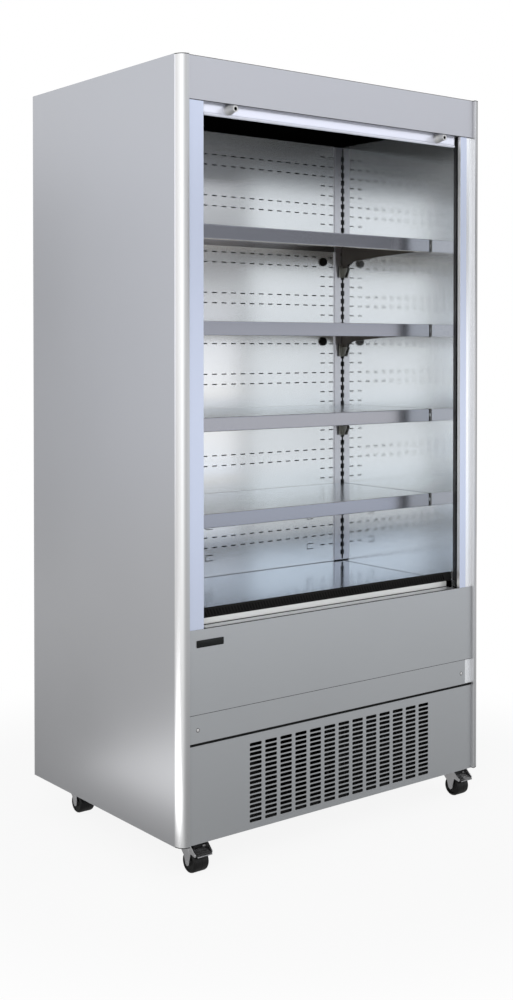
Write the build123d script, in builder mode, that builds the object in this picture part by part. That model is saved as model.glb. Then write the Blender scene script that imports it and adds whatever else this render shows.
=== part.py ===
from build123d import *
from math import cos, radians, sin, sqrt
import os

os.makedirs("parts", exist_ok=True)

# Open multideck display fridge on castors. Millimetres, +Z up, front towards -Y, floor at Z = 0.
# The origin is on the floor, in the middle of the width and of the overall depth.
# A "depth" runs backwards from the front faces of the two corner posts.

# ---- driving dimensions ----
WIDTH = 1000
BODY_DEPTH = 693
HEIGHT = 1910
FLOOR_GAP = 85  # under the body, filled by the castors
KNOB_REACH = 8.5  # the blind's knobs stand this far in front of the posts

SHEET = 1.0
GAP = 0.3  # fitting gap between neighbouring sheet parts
HALF = WIDTH / 2
Y_FRONT = (KNOB_REACH - BODY_DEPTH) / 2

POST_WIDTH = 26
POST_RADIUS = 24
POST_WALL = 1.8
POST_CAP = 2
FLANGE_INNER = 450  # the posts' inner flanges end here, from the middle
FLANGE_DEPTH = 10

PANEL_DEPTH = 8  # front panels sit this far behind the post fronts
PANEL_HALF = HALF - POST_WIDTH - GAP
RETURN_HALF = FLANGE_INNER - 1
HEADER_BOTTOM = 1809
LOWER_TOP = 584
LOWER_BOTTOM = 386.5
COVER_TOP = 385.5
COVER_BOTTOM = 319
GRILLE_TOP = 314

OPEN_HALF = 428  # half of the clear opening between the frame strips
STRIP_OUTER = 451
STRIP_RETURN = 10

LINER_HALF = 440
LINER = 0.8
DUCT_DEPTH = 506.5  # front face of the slotted duct panel
REAR_LINER_DEPTH = 617.8
WELL_FLOOR = 428.6
LINER_TOP = 1876.3
CEILING = 1838
DECK_TOP = 597
FLOOR_SLAB_BOTTOM = 388

SHELF_TOPS = [1539, 1303, 1067, 831]
SHELF_HALF = 437
SHELF_FRONT = 133
SHELF_SHEET = 1.2
RAIL_HEIGHT = 35

UPRIGHT_WIDTH = 28
UPRIGHT_FACE = 501.5
SLOT_PITCH = 23.6
SLOT_X = 435.3  # middle of the bracket slots, from the middle of the cabinet
BRACKET_X = 436
BRACKET_SHEET = 2.4

BAR_DEPTH = 23.5
BAR_HALF = 418
BAR_BOTTOM = 1779
BAR_TOP = 1824
KNOB_X = 348
KNOB_Z = 1796
ROLLER_RADIUS = 21.5
ROLLER_DEPTH = 47
ROLLER_Z = 1852

CASTOR_X = {"left": -417, "right": 470}
CASTOR_DEPTH = {"front": 58, "rear": 577}
TRAIL = 22
WHEEL_RADIUS = 26
WHEEL_HALF = 22
AXLE_RADIUS = 4


# ---- shared helpers ----
def y_at(depth):
    """The Y of a plane at this depth behind the post fronts."""
    return Y_FRONT + depth


def front_plane(depth):
    """A sketch plane that faces the front: local x and y are the model's X and Z."""
    return Plane(origin=(0, y_at(depth), 0), x_dir=(1, 0, 0), z_dir=(0, -1, 0))


def side_plane(x):
    """A sketch plane across the width: local x and y are the model's Y and Z."""
    return Plane(origin=(x, 0, 0), x_dir=(0, 1, 0), z_dir=(1, 0, 0))


def block(x, depth, z, mode=Mode.ADD):
    """A box between two limits on each axis, in the part that is being built."""
    with Locations(((x[0] + x[1]) / 2, y_at((depth[0] + depth[1]) / 2), (z[0] + z[1]) / 2)):
        Box(x[1] - x[0], depth[1] - depth[0], z[1] - z[0], mode=mode)


def patch(u, v, mode=Mode.ADD):
    """A rectangle between two limits on each axis of the sketch that is being drawn."""
    with Locations(((u[0] + u[1]) / 2, (v[0] + v[1]) / 2)):
        Rectangle(u[1] - u[0], v[1] - v[0], mode=mode)


def outline(points, mode=Mode.ADD):
    """A filled polygon from its corners."""
    Polygon(*points, mode=mode)


def sided(side, low, high):
    """Limits low..high from the middle, on the left (-1) or right (1) side, in rising order."""
    return tuple(sorted((side * low, side * high)))


def write(piece, name):
    piece.part.label = name
    export_step(piece.part, f"parts/{name}.step")


SIDES = {"left": -1, "right": 1}

# ---- outer panels: thin painted sheet, folded at the back edge ----
BACK_RETURN = 18
SIDE_RETURN_DEPTH = POST_RADIUS + 0.2

for hand, side in SIDES.items():
    with BuildPart() as side_panel:
        with BuildSketch(Plane.XY.offset(FLOOR_GAP)):
            patch(sided(side, HALF - SHEET, HALF), (y_at(SIDE_RETURN_DEPTH), y_at(BODY_DEPTH)))
            patch(
                sided(side, HALF - BACK_RETURN, HALF),
                (y_at(SIDE_RETURN_DEPTH), y_at(SIDE_RETURN_DEPTH + SHEET)),
            )
            patch(
                sided(side, HALF - BACK_RETURN, HALF),
                (y_at(BODY_DEPTH - SHEET), y_at(BODY_DEPTH)),
            )
        extrude(amount=HEIGHT - FLOOR_GAP)
    write(side_panel, f"{hand}_side_panel")

AIR_OUTLET_CENTRE = (-90, 215)  # the condenser's warm air leaves here
AIR_OUTLET_SIZE = (580, 150)
AIR_OUTLET_RADIUS = 12
INLET_CENTRE = (330, 150)
INLET_SIZE = (48, 28)
with BuildPart() as back_panel:
    with BuildSketch(front_plane(BODY_DEPTH - SHEET)):
        patch((-HALF + BACK_RETURN + GAP, HALF - BACK_RETURN - GAP), (FLOOR_GAP, HEIGHT - 1.5))
        with Locations(AIR_OUTLET_CENTRE):
            RectangleRounded(*AIR_OUTLET_SIZE, AIR_OUTLET_RADIUS, mode=Mode.SUBTRACT)
        with Locations(INLET_CENTRE):
            Rectangle(*INLET_SIZE, mode=Mode.SUBTRACT)
    extrude(amount=-SHEET)
write(back_panel, "back_panel")

HEADER_TOP_RETURN = 17.2
SKIN_HALF = HALF - SHEET - 0.2  # inside the side panels
SKIN_BACK = BODY_DEPTH - SHEET - 0.2
with BuildPart() as top_panel:
    block(
        (-SKIN_HALF, SKIN_HALF),
        (PANEL_DEPTH + HEADER_TOP_RETURN + 0.2, SKIN_BACK),
        (HEIGHT - SHEET, HEIGHT),
    )
write(top_panel, "top_panel")

# ---- foam: six slabs between the outer sheets and the liners ----
FOAM_BACK = SKIN_BACK - 0.3
FOAM_FRONT = 33
ROOF_FOAM_FRONT = 78
FLOOR_FOAM_FRONT = 26
FRONT_FOAM = (13, 48.6)
FRONT_FOAM_TOP = 572
WALL_FOAM_Z = (WELL_FLOOR, LINER_TOP)
PIPE_HOLE = (-120, 560)
DRAIN_HOLE = (60, 400)
with BuildPart() as foam:
    for side in SIDES.values():
        block(sided(side, LINER_HALF + 1, SKIN_HALF), (FOAM_FRONT, FOAM_BACK), WALL_FOAM_Z)
    block((-LINER_HALF, LINER_HALF), (REAR_LINER_DEPTH + 1, FOAM_BACK), WALL_FOAM_Z)
    block((-SKIN_HALF, SKIN_HALF), (ROOF_FOAM_FRONT, FOAM_BACK), (LINER_TOP + 1, HEIGHT - SHEET - GAP))
    block(
        (-SKIN_HALF, SKIN_HALF), (FLOOR_FOAM_FRONT, FOAM_BACK), (FLOOR_SLAB_BOTTOM, WELL_FLOOR - 0.4)
    )
    block((-LINER_HALF + 1, LINER_HALF - 1), FRONT_FOAM, (WELL_FLOOR, FRONT_FOAM_TOP))
    for (x, depth), radius in ((PIPE_HOLE, 16), (DRAIN_HOLE, 12.5)):
        with Locations((x, y_at(depth), FLOOR_SLAB_BOTTOM + 20)):
            Cylinder(radius, 60, mode=Mode.SUBTRACT)
write(foam, "foam_insulation")

# ---- liners: polished steel sheets ----
SPLAY_FRONT = (429.3, 25.3)  # the side liners' front edges splay inwards to here
SPLAY_BACK = 46
with BuildPart() as side_liners:
    for side in SIDES.values():
        block(
            sided(side, LINER_HALF, LINER_HALF + LINER),
            (SPLAY_BACK, REAR_LINER_DEPTH - GAP),
            (WELL_FLOOR, LINER_TOP),
        )
    with BuildSketch(Plane.XY.offset(LOWER_TOP + GAP)):
        for side in SIDES.values():
            x_edge, edge_depth = SPLAY_FRONT
            corners = [
                (x_edge, edge_depth),
                (LINER_HALF, SPLAY_BACK),
                (LINER_HALF, SPLAY_BACK + 1),
                (LINER_HALF + LINER, SPLAY_BACK + 1),
                (LINER_HALF + LINER, SPLAY_BACK - 0.2),
                (x_edge + 0.9, edge_depth),
            ]
            outline([(side * x, y_at(depth)) for x, depth in corners])
    extrude(amount=LINER_TOP - LOWER_TOP - GAP)
write(side_liners, "side_liners")

LINER_FIT = LINER_HALF - 0.4
with BuildPart() as rear_liner:
    block(
        (-LINER_FIT, LINER_FIT),
        (REAR_LINER_DEPTH, REAR_LINER_DEPTH + LINER),
        (WELL_FLOOR + LINER + 0.2, LINER_TOP),
    )
write(rear_liner, "rear_liner")

RISER_DEPTH = 49  # front face of the riser under the return-air grille
RISER_TOP = 599
WELL_FRONT = RISER_DEPTH + 1.2
with BuildPart() as well_liner:
    with BuildSketch(side_plane(0)):
        patch((y_at(WELL_FRONT), y_at(REAR_LINER_DEPTH - GAP)), (WELL_FLOOR, WELL_FLOOR + LINER))
        patch((y_at(WELL_FRONT), y_at(WELL_FRONT + LINER)), (WELL_FLOOR, RISER_TOP - 1.5))
    extrude(amount=LINER_FIT, both=True)
    for (x, depth), radius in ((PIPE_HOLE, 15), (DRAIN_HOLE, 12.5)):
        with Locations((x, y_at(depth), WELL_FLOOR)):
            Cylinder(radius, 6, mode=Mode.SUBTRACT)
write(well_liner, "well_liner")

# ---- rear duct panel: rows of short slots, holes for plugs, hooked cut-outs ----
DASH = (17, 3)
DASH_PITCH = 33.2
DASH_COLUMNS = 12  # on each side of the middle column
DASH_ROW_PITCH = 28.53
FULL_ROWS = [1775.4, 1746.7, 1661.7, 1633.2]  # top group, right across
SHORT_ROWS = [1804.0, 1718.3, 1690.2, 1604.5, 1576.0]  # top group, two columns each side
LOWER_GROUP_TOP = 1505.8
LOWER_ROWS = 31
PLUG_X = 11 * DASH_PITCH
PLUG_DROP = 47  # below each shelf top
PLUG_HOLE = 8
TAB_ROWS = [650, 738]
TAB_COLUMNS = [-52, 317]
TAB_SIZE = (25, 17)
TAB_CUT = 2

for row in range(LOWER_ROWS):
    height = LOWER_GROUP_TOP - row * DASH_ROW_PITCH
    (FULL_ROWS if row % 4 < 2 and row < 30 else SHORT_ROWS).append(height)


def near_plug(x, z):
    return abs(abs(x) - PLUG_X) < 12 and min(abs(z - top + PLUG_DROP) for top in SHELF_TOPS) < 22


def near_tab(x, z):
    return any(
        abs(x - tab_x) < TAB_SIZE[0] / 2 + DASH[0] / 2 + 2 and abs(z - tab_z) < TAB_SIZE[1] / 2 + 4
        for tab_x in TAB_COLUMNS
        for tab_z in TAB_ROWS
    )


dashes = []
for column in range(-DASH_COLUMNS, DASH_COLUMNS + 1):
    rows = FULL_ROWS + SHORT_ROWS if abs(column) >= DASH_COLUMNS - 1 else FULL_ROWS
    dashes += [(column * DASH_PITCH, z) for z in rows]
dashes = [(x, z) for x, z in dashes if not near_plug(x, z) and not near_tab(x, z)]

DUCT_HALF = LINER_HALF - UPRIGHT_WIDTH - 1
with BuildPart() as duct_panel:
    with BuildSketch(front_plane(DUCT_DEPTH)):
        patch((-DUCT_HALF, DUCT_HALF), (560, CEILING - 0.4))
        with Locations(*dashes):
            Rectangle(*DASH, mode=Mode.SUBTRACT)
        with Locations(*[(s * PLUG_X, top - PLUG_DROP) for s in (-1, 1) for top in SHELF_TOPS]):
            Circle(PLUG_HOLE, mode=Mode.SUBTRACT)
        for tab_x in TAB_COLUMNS:
            for tab_z in TAB_ROWS:
                left, right = tab_x - TAB_SIZE[0] / 2, tab_x + TAB_SIZE[0] / 2
                low, high = tab_z - TAB_SIZE[1] / 2, tab_z + TAB_SIZE[1] / 2
                patch((left, left + TAB_CUT), (low, high), Mode.SUBTRACT)
                patch((left, right), (high - TAB_CUT, high), Mode.SUBTRACT)
                patch((left, right), (low, low + TAB_CUT), Mode.SUBTRACT)
    extrude(amount=-SHEET)
    block((-DUCT_HALF, DUCT_HALF), (DUCT_DEPTH, DUCT_DEPTH + 12), (560, 561))
write(duct_panel, "rear_duct_panel")

with BuildPart() as plugs:
    for side in SIDES.values():
        for top in SHELF_TOPS:
            with BuildSketch(front_plane(DUCT_DEPTH - 0.2)):
                with Locations((side * PLUG_X, top - PLUG_DROP)):
                    Circle(12.5)
            extrude(amount=8)
            with BuildSketch(front_plane(DUCT_DEPTH + 5)):
                with Locations((side * PLUG_X, top - PLUG_DROP)):
                    Circle(PLUG_HOLE - 0.3)
            extrude(amount=5.2)
    head_rims = plugs.edges().filter_by(GeomType.CIRCLE).group_by(Axis.Y)[0]
    fillet(head_rims, 2)
write(plugs, "rear_panel_plugs")

# ---- ceiling and the air-curtain honeycomb above the opening ----
HONEYCOMB = (80, 130)
with BuildPart() as ceiling:
    block((-LINER_FIT, LINER_FIT), (HONEYCOMB[1] + 1, DUCT_DEPTH + 1), (CEILING, CEILING + SHEET))
write(ceiling, "ceiling_panel")

CELL_PITCH = 12.4
CELL_SIZE = 11
with BuildPart() as honeycomb:
    block((-LINER_HALF + 2, LINER_HALF - 2), HONEYCOMB, (CEILING, CEILING + 18))
    with BuildSketch(Plane.XY.offset(CEILING)):
        with Locations((0, y_at(sum(HONEYCOMB) / 2))):
            with GridLocations(CELL_PITCH, CELL_PITCH, 70, 3):
                RegularPolygon(CELL_SIZE / 2, 6)
    extrude(amount=18, mode=Mode.SUBTRACT)
write(honeycomb, "air_curtain_honeycomb")


# ---- corner posts: hollow quarter-round extrusions with a flat inner flange ----
def post_section(side, inset, mode=Mode.ADD):
    """The post's quarter-round outline, drawn inwards by inset."""
    centre_x, radius = HALF - POST_RADIUS, POST_RADIUS - inset
    inner_x = HALF - POST_WIDTH + inset
    end_x = centre_x + sqrt(radius**2 - inset**2)
    diagonal = radius * cos(radians(45))
    middle = (side * (centre_x + diagonal), y_at(POST_RADIUS - diagonal))
    with BuildLine() as contour:
        Line((side * inner_x, y_at(inset)), (side * centre_x, y_at(inset)))
        ThreePointArc(
            (side * centre_x, y_at(inset)), middle, (side * end_x, y_at(POST_RADIUS - inset))
        )
        Polyline(
            (side * end_x, y_at(POST_RADIUS - inset)),
            (side * inner_x, y_at(POST_RADIUS - inset)),
            (side * inner_x, y_at(inset)),
        )
    make_face(contour.edges(), mode=mode)


FLANGE_SHEET = 1.5
FLANGE_GROOVE_X = 462
with BuildPart() as posts:
    with BuildSketch(Plane.XY.offset(FLOOR_GAP + POST_CAP)):
        for side in SIDES.values():
            post_section(side, 0)
            post_section(side, POST_WALL, Mode.SUBTRACT)
            patch(
                sided(side, FLANGE_INNER, HALF - POST_WIDTH + 1),
                (y_at(FLANGE_DEPTH), y_at(FLANGE_DEPTH + FLANGE_SHEET)),
            )
            patch(
                sided(side, FLANGE_GROOVE_X, FLANGE_GROOVE_X + 1),
                (y_at(FLANGE_DEPTH), y_at(FLANGE_DEPTH + 0.5)),
                Mode.SUBTRACT,
            )
    extrude(amount=HEIGHT - FLOOR_GAP - 2 * POST_CAP)
write(posts, "corner_posts")

with BuildPart() as post_caps:
    for base in (FLOOR_GAP, HEIGHT - POST_CAP):
        with BuildSketch(Plane.XY.offset(base)):
            for side in SIDES.values():
                post_section(side, 0)
        extrude(amount=POST_CAP)
write(post_caps, "post_end_caps")


# ---- front panels: a face sheet with folded edges ----
def folded_panel(x, z, top_return=0.0, bottom_return=0.0):
    """A front sheet whose top and bottom edges fold backwards, clear of the post flanges."""
    block(x, (PANEL_DEPTH, PANEL_DEPTH + SHEET), z)
    fold_x = (max(x[0], -RETURN_HALF), min(x[1], RETURN_HALF))
    for reach, edge in ((top_return, (z[1] - SHEET, z[1])), (bottom_return, (z[0], z[0] + SHEET))):
        if reach:
            block(fold_x, (PANEL_DEPTH, PANEL_DEPTH + reach), edge)


HEADER_FACE = (PANEL_DEPTH, PANEL_DEPTH + HEADER_TOP_RETURN)
with BuildPart() as header:
    folded_panel((-PANEL_HALF, PANEL_HALF), (HEADER_BOTTOM, HEIGHT), 0, 11)
    block((-PANEL_HALF, PANEL_HALF), HEADER_FACE, (HEIGHT - SHEET, HEIGHT))
write(header, "header_panel")

with BuildPart() as lower_panel:
    folded_panel((-PANEL_HALF, PANEL_HALF), (LOWER_BOTTOM, LOWER_TOP), 24.5, 12)
write(lower_panel, "lower_front_panel")

COVER_RIGHT = 448.5
SCREWS = [(-446, 350.5), (433.6, 350)]
SCREW_RADIUS = 2
with BuildPart() as strip_cover:
    folded_panel((-PANEL_HALF, COVER_RIGHT), (COVER_BOTTOM, COVER_TOP), 0, 8)
    with BuildSketch(front_plane(PANEL_DEPTH)):
        with Locations(*SCREWS):
            Circle(SCREW_RADIUS + 0.2)
    extrude(amount=-SHEET, mode=Mode.SUBTRACT)
write(strip_cover, "strip_cover")

with BuildPart() as screws:
    for x, z in SCREWS:
        with BuildSketch(front_plane(PANEL_DEPTH)):
            with Locations((x, z)):
                Circle(4)
        extrude(amount=1.8)
        with BuildSketch(front_plane(PANEL_DEPTH)):
            with Locations((x, z)):
                Circle(SCREW_RADIUS)
        extrude(amount=-9)
    fillet(screws.edges().filter_by(GeomType.CIRCLE).group_by(Axis.Y)[0], 1)
    with BuildSketch(front_plane(PANEL_DEPTH - 1.8)):
        with Locations(*SCREWS):
            Rectangle(4.4, 1, mode=Mode.ADD)
            Rectangle(1, 4.4, mode=Mode.ADD)
    extrude(amount=-1, mode=Mode.SUBTRACT)
write(screws, "cover_screws")

VENT_FIELD_X = 6.5
VENT_SLOT = (36.5, 8)
with BuildPart() as grille_panel:
    folded_panel((-PANEL_HALF, PANEL_HALF), (FLOOR_GAP, GRILLE_TOP), 10)
    with BuildSketch(front_plane(PANEL_DEPTH)):
        with Locations((VENT_FIELD_X, 197)):
            with GridLocations(47.1, 11.44, 13, 17):
                RectangleRounded(*VENT_SLOT, 3)
    extrude(amount=-SHEET, mode=Mode.SUBTRACT)
write(grille_panel, "grille_panel")

with BuildPart() as name_plate:
    with BuildSketch(front_plane(PANEL_DEPTH)):
        with Locations((-411, 550.5)):
            RectangleRounded(78, 17, 8)
    extrude(amount=1.2)
    fillet(name_plate.faces().sort_by(Axis.Y)[0].edges(), 0.4)
write(name_plate, "name_plate")

# ---- frame strips, black breaker strips, sill and return-air grille round the opening ----
STRIP_SHEET = 0.9
STRIP_Z = (LOWER_TOP + GAP, HEADER_BOTTOM - GAP)
with BuildPart() as frame_strips:
    with BuildSketch(Plane.XY.offset(STRIP_Z[0])):
        for side in SIDES.values():
            face_depth = PANEL_DEPTH + SHEET
            patch(
                sided(side, OPEN_HALF, STRIP_OUTER), (y_at(face_depth), y_at(face_depth + STRIP_SHEET))
            )
            patch(
                sided(side, OPEN_HALF, OPEN_HALF + STRIP_SHEET),
                (y_at(face_depth), y_at(face_depth + STRIP_RETURN)),
            )
    extrude(amount=STRIP_Z[1] - STRIP_Z[0])
write(frame_strips, "frame_strips")

BREAKER_DEPTH = (PANEL_DEPTH + SHEET + STRIP_RETURN + 0.2, 25)
with BuildPart() as breaker_strips:
    for side in SIDES.values():
        block(sided(side, OPEN_HALF + 0.5, OPEN_HALF + 18), BREAKER_DEPTH, STRIP_Z)
    block((-OPEN_HALF, OPEN_HALF), (33, FRONT_FOAM[1]), (FRONT_FOAM_TOP + 1, FRONT_FOAM_TOP + 8))
write(breaker_strips, "breaker_strips")

RISER_HALF = 417.5
with BuildPart() as front_sill:
    with BuildSketch(side_plane(0)):
        patch((y_at(RISER_DEPTH), y_at(RISER_DEPTH + SHEET)), (540, RISER_TOP))
        patch((y_at(RISER_DEPTH), y_at(RISER_DEPTH + 8)), (RISER_TOP - SHEET, RISER_TOP))
    extrude(amount=RISER_HALF, both=True)
write(front_sill, "front_sill")

RETURN_HALF_WIDTH = 436
RETURN_Z = (RISER_TOP + 0.2, 622)
LOUVRE_PITCH = 9
LOUVRE_COUNT = 91
with BuildPart() as return_grille:
    with BuildSketch(side_plane(0)):
        patch((y_at(RISER_DEPTH), y_at(RISER_DEPTH + 2)), RETURN_Z)
        patch((y_at(RISER_DEPTH), y_at(RISER_DEPTH + 8)), (RETURN_Z[1] - 2, RETURN_Z[1]))
        patch((y_at(RISER_DEPTH), y_at(RISER_DEPTH + 8)), (RETURN_Z[0], RETURN_Z[0] + 2))
    extrude(amount=RETURN_HALF_WIDTH, both=True)
    for side in SIDES.values():
        block(sided(side, 413, RETURN_HALF_WIDTH), (RISER_DEPTH, RISER_DEPTH + 8), RETURN_Z)
    low, high = RETURN_Z[0] + 3.5, RETURN_Z[1] - 3.5
    louvre = [(4 - 2.5, low), (4 + 2.5, low), (-4 + 2.5, high), (-4 - 2.5, high)]
    with BuildSketch(front_plane(RISER_DEPTH)):
        with GridLocations(LOUVRE_PITCH, 1, LOUVRE_COUNT, 1):
            outline(louvre)
    extrude(amount=-2, mode=Mode.SUBTRACT)
write(return_grille, "return_air_grille")

# ---- night blind: cassette, roller with the wound film, film end, pull bar and knobs ----
CASSETTE_HALF = 427
CASSETTE_DEPTH = (26, 72.5)
CASSETTE_Z = (1828, LINER_TOP - GAP)
ROLLER_HALF = 424.5
PIN_RADIUS = 4
roller_centre = (y_at(ROLLER_DEPTH), ROLLER_Z)
with BuildPart() as cassette:
    block((-CASSETTE_HALF, CASSETTE_HALF), (CASSETTE_DEPTH[1] - 1, CASSETTE_DEPTH[1]), CASSETTE_Z)
    block((-CASSETTE_HALF, CASSETTE_HALF), CASSETTE_DEPTH, (CASSETTE_Z[1] - 1, CASSETTE_Z[1]))
    for side in SIDES.values():
        block(sided(side, CASSETTE_HALF - 1.5, CASSETTE_HALF), CASSETTE_DEPTH, CASSETTE_Z)
        with BuildSketch(side_plane(side * (CASSETTE_HALF - 1.5))):
            with Locations(roller_centre):
                Circle(PIN_RADIUS)
        extrude(amount=-side * 9)
write(cassette, "blind_cassette")

with BuildPart() as roller:
    with BuildSketch(side_plane(0)):
        with Locations(roller_centre):
            Circle(ROLLER_RADIUS)
    extrude(amount=ROLLER_HALF, both=True)
    for side in SIDES.values():
        with BuildSketch(side_plane(side * ROLLER_HALF)):
            with Locations(roller_centre):
                Circle(PIN_RADIUS + 0.08)
        extrude(amount=-side * 12, mode=Mode.SUBTRACT)
write(roller, "blind_roller")

FILM_DEPTH = (24.4, 25.2)
with BuildPart() as film:
    block((-BAR_HALF + 2, BAR_HALF - 2), FILM_DEPTH, (BAR_TOP, ROLLER_Z))
write(film, "blind_film")

with BuildPart() as pull_bar:
    with BuildSketch(side_plane(0)):
        patch((y_at(BAR_DEPTH), y_at(BAR_DEPTH + 3)), (BAR_BOTTOM, BAR_TOP))
        patch((y_at(BAR_DEPTH - 1.8), y_at(BAR_DEPTH + 4.5)), (BAR_BOTTOM, BAR_BOTTOM + 4.5))
    extrude(amount=BAR_HALF, both=True)
    long_edges = pull_bar.edges().filter_by(Axis.X).group_by(Axis.Z)
    fillet(long_edges[0] + long_edges[-1], 1)
write(pull_bar, "blind_pull_bar")

KNOB_PROFILE = [(BAR_DEPTH, 12), (12, 11.4), (3, 7.4), (-KNOB_REACH, 7.2)]
KNOB_BORE = (4.4, 14)
with BuildPart() as knobs:
    for side in SIDES.values():
        axis_plane = Plane(origin=(side * KNOB_X, 0, KNOB_Z), x_dir=(0, 1, 0), z_dir=(0, 0, 1))
        with BuildSketch(axis_plane):
            bore_radius, bore_depth = KNOB_BORE
            corners = [(depth, radius) for depth, radius in KNOB_PROFILE]
            corners += [
                (-KNOB_REACH, bore_radius),
                (-KNOB_REACH + bore_depth, bore_radius),
                (-KNOB_REACH + bore_depth, 0),
                (BAR_DEPTH, 0),
            ]
            outline([(y_at(depth), radius) for depth, radius in corners])
        revolve(axis=Axis(origin=(side * KNOB_X, 0, KNOB_Z), direction=(0, 1, 0)))
write(knobs, "blind_knobs")

# ---- shelving: slotted uprights, hooked brackets, four shelves and the bottom deck ----
UPRIGHT_SHEET = 1.5
UPRIGHT_OUTER = LINER_HALF - 0.5
UPRIGHT_Z = (600, CEILING - 2)
SLOT_SIZE = (5, 14)
FIRST_SLOT = SHELF_TOPS[0] - 20
SLOTS_ABOVE, SLOTS_BELOW = 12, 38
with BuildPart() as uprights:
    for side in SIDES.values():
        inner = UPRIGHT_OUTER - UPRIGHT_WIDTH
        face = (UPRIGHT_FACE, UPRIGHT_FACE + UPRIGHT_SHEET)
        flange = (UPRIGHT_FACE, UPRIGHT_FACE + 28)
        block(sided(side, inner, UPRIGHT_OUTER), face, UPRIGHT_Z)
        block(sided(side, inner, inner + UPRIGHT_SHEET), flange, UPRIGHT_Z)
        block(sided(side, UPRIGHT_OUTER - UPRIGHT_SHEET, UPRIGHT_OUTER), flange, UPRIGHT_Z)
        slot_places = [
            (side * SLOT_X, FIRST_SLOT + step * SLOT_PITCH)
            for step in range(-SLOTS_BELOW, SLOTS_ABOVE + 1)
        ]
        with BuildSketch(front_plane(UPRIGHT_FACE)):
            with Locations(*slot_places):
                Rectangle(*SLOT_SIZE)
        extrude(amount=-UPRIGHT_SHEET, mode=Mode.SUBTRACT)
write(uprights, "shelf_uprights")

ARM_TOP = SHELF_SHEET + 0.05  # below the shelf top
ARM_OUTLINE = [
    (UPRIGHT_FACE - GAP, ARM_TOP),
    (149, ARM_TOP),
    (149, 18),
    (200, 32),
    (340, 37),
    (455, 46),
    (475, 56),
    (486, 91),
    (UPRIGHT_FACE - GAP, 91),
]
HOOK_DROPS = [20, 20 + 2 * SLOT_PITCH]  # slot middles used, below the shelf top
with BuildPart() as brackets:
    for side in SIDES.values():
        for top in SHELF_TOPS:
            with BuildSketch(side_plane(side * BRACKET_X)):
                outline([(y_at(depth), top - drop) for depth, drop in ARM_OUTLINE])
                for drop in HOOK_DROPS:
                    slot = top - drop
                    neck = (y_at(UPRIGHT_FACE - 1), y_at(UPRIGHT_FACE + 4.5))
                    tongue = (y_at(UPRIGHT_FACE + 1.8), y_at(UPRIGHT_FACE + 4.5))
                    patch(neck, (slot - 6.8, slot + 3))
                    patch(tongue, (slot - 14, slot + 3))
            extrude(amount=BRACKET_SHEET / 2, both=True)
write(brackets, "shelf_brackets")

SHELF_BACK = DUCT_DEPTH - 1
CORNER_CUT_X = DUCT_HALF - 2
for number, top in enumerate(SHELF_TOPS, start=1):
    with BuildPart() as shelf:
        with BuildSketch(side_plane(0)):
            patch((y_at(SHELF_FRONT), y_at(SHELF_BACK)), (top - SHELF_SHEET, top))
            patch((y_at(SHELF_FRONT), y_at(SHELF_FRONT + SHELF_SHEET)), (top - RAIL_HEIGHT, top))
            patch(
                (y_at(SHELF_FRONT), y_at(SHELF_FRONT + 13)),
                (top - RAIL_HEIGHT, top - RAIL_HEIGHT + SHELF_SHEET),
            )
            patch((y_at(SHELF_BACK - SHELF_SHEET), y_at(SHELF_BACK)), (top - 16, top))
        extrude(amount=SHELF_HALF, both=True)
        for side in SIDES.values():
            block(
                sided(side, CORNER_CUT_X, SHELF_HALF + 1),
                (UPRIGHT_FACE - 0.5, SHELF_BACK + 1),
                (top - 20, top + 5),
                Mode.SUBTRACT,
            )
        front_edges = shelf.edges().filter_by(Axis.X).group_by(Axis.Y)[0]
        fillet(front_edges, 0.8)
    write(shelf, f"shelf_{number}")

DECK_FRONT = 62
with BuildPart() as deck:
    with BuildSketch(side_plane(0)):
        deck_back = UPRIGHT_FACE - 0.5
        patch((y_at(DECK_FRONT), y_at(deck_back)), (DECK_TOP - SHEET, DECK_TOP))
        patch((y_at(DECK_FRONT), y_at(DECK_FRONT + SHEET)), (DECK_TOP - 18, DECK_TOP))
        patch((y_at(deck_back - SHEET), y_at(deck_back)), (DECK_TOP - 18, DECK_TOP))
    extrude(amount=SHELF_HALF, both=True)
write(deck, "deck_panel")


# ---- fans ----
BLADE_PITCH = radians(28)
BLADE_OVERLAP = 3  # of a blade's root with the hub


def disc(centre, depth, radius, mode=Mode.ADD):
    """A round slab between two depths, about a line along Y."""
    with BuildSketch(front_plane(depth[0])) as face:
        with Locations(centre):
            Circle(radius)
    extrude(face.sketch, amount=depth[0] - depth[1], mode=mode)


def fan_rotor(centre, depth, tip_radius, hub_radius, blades, bore_radius):
    """A hub with pitched blades between two depths, turning about a line along Y."""
    x, z = centre
    forwards = Vector(0, -1, 0)
    blade_length = tip_radius - hub_radius + BLADE_OVERLAP
    middle_radius = hub_radius - BLADE_OVERLAP + blade_length / 2
    for index in range(blades):
        angle = radians(360 / blades * index)
        radial = Vector(cos(angle), 0, sin(angle))
        tangent = Vector(-sin(angle), 0, cos(angle))
        normal = forwards * cos(BLADE_PITCH) - tangent * sin(BLADE_PITCH)
        middle = Vector(x, y_at(sum(depth) / 2), z) + radial * middle_radius
        with BuildSketch(Plane(origin=middle, x_dir=radial, z_dir=normal)) as blade:
            Trapezoid(1.5 * hub_radius, blade_length, 101, rotation=-90)
        extrude(blade.sketch, amount=0.8, both=True)
    disc(centre, depth, tip_radius, Mode.INTERSECT)
    disc(centre, depth, hub_radius)
    disc(centre, depth, bore_radius, Mode.SUBTRACT)


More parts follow.
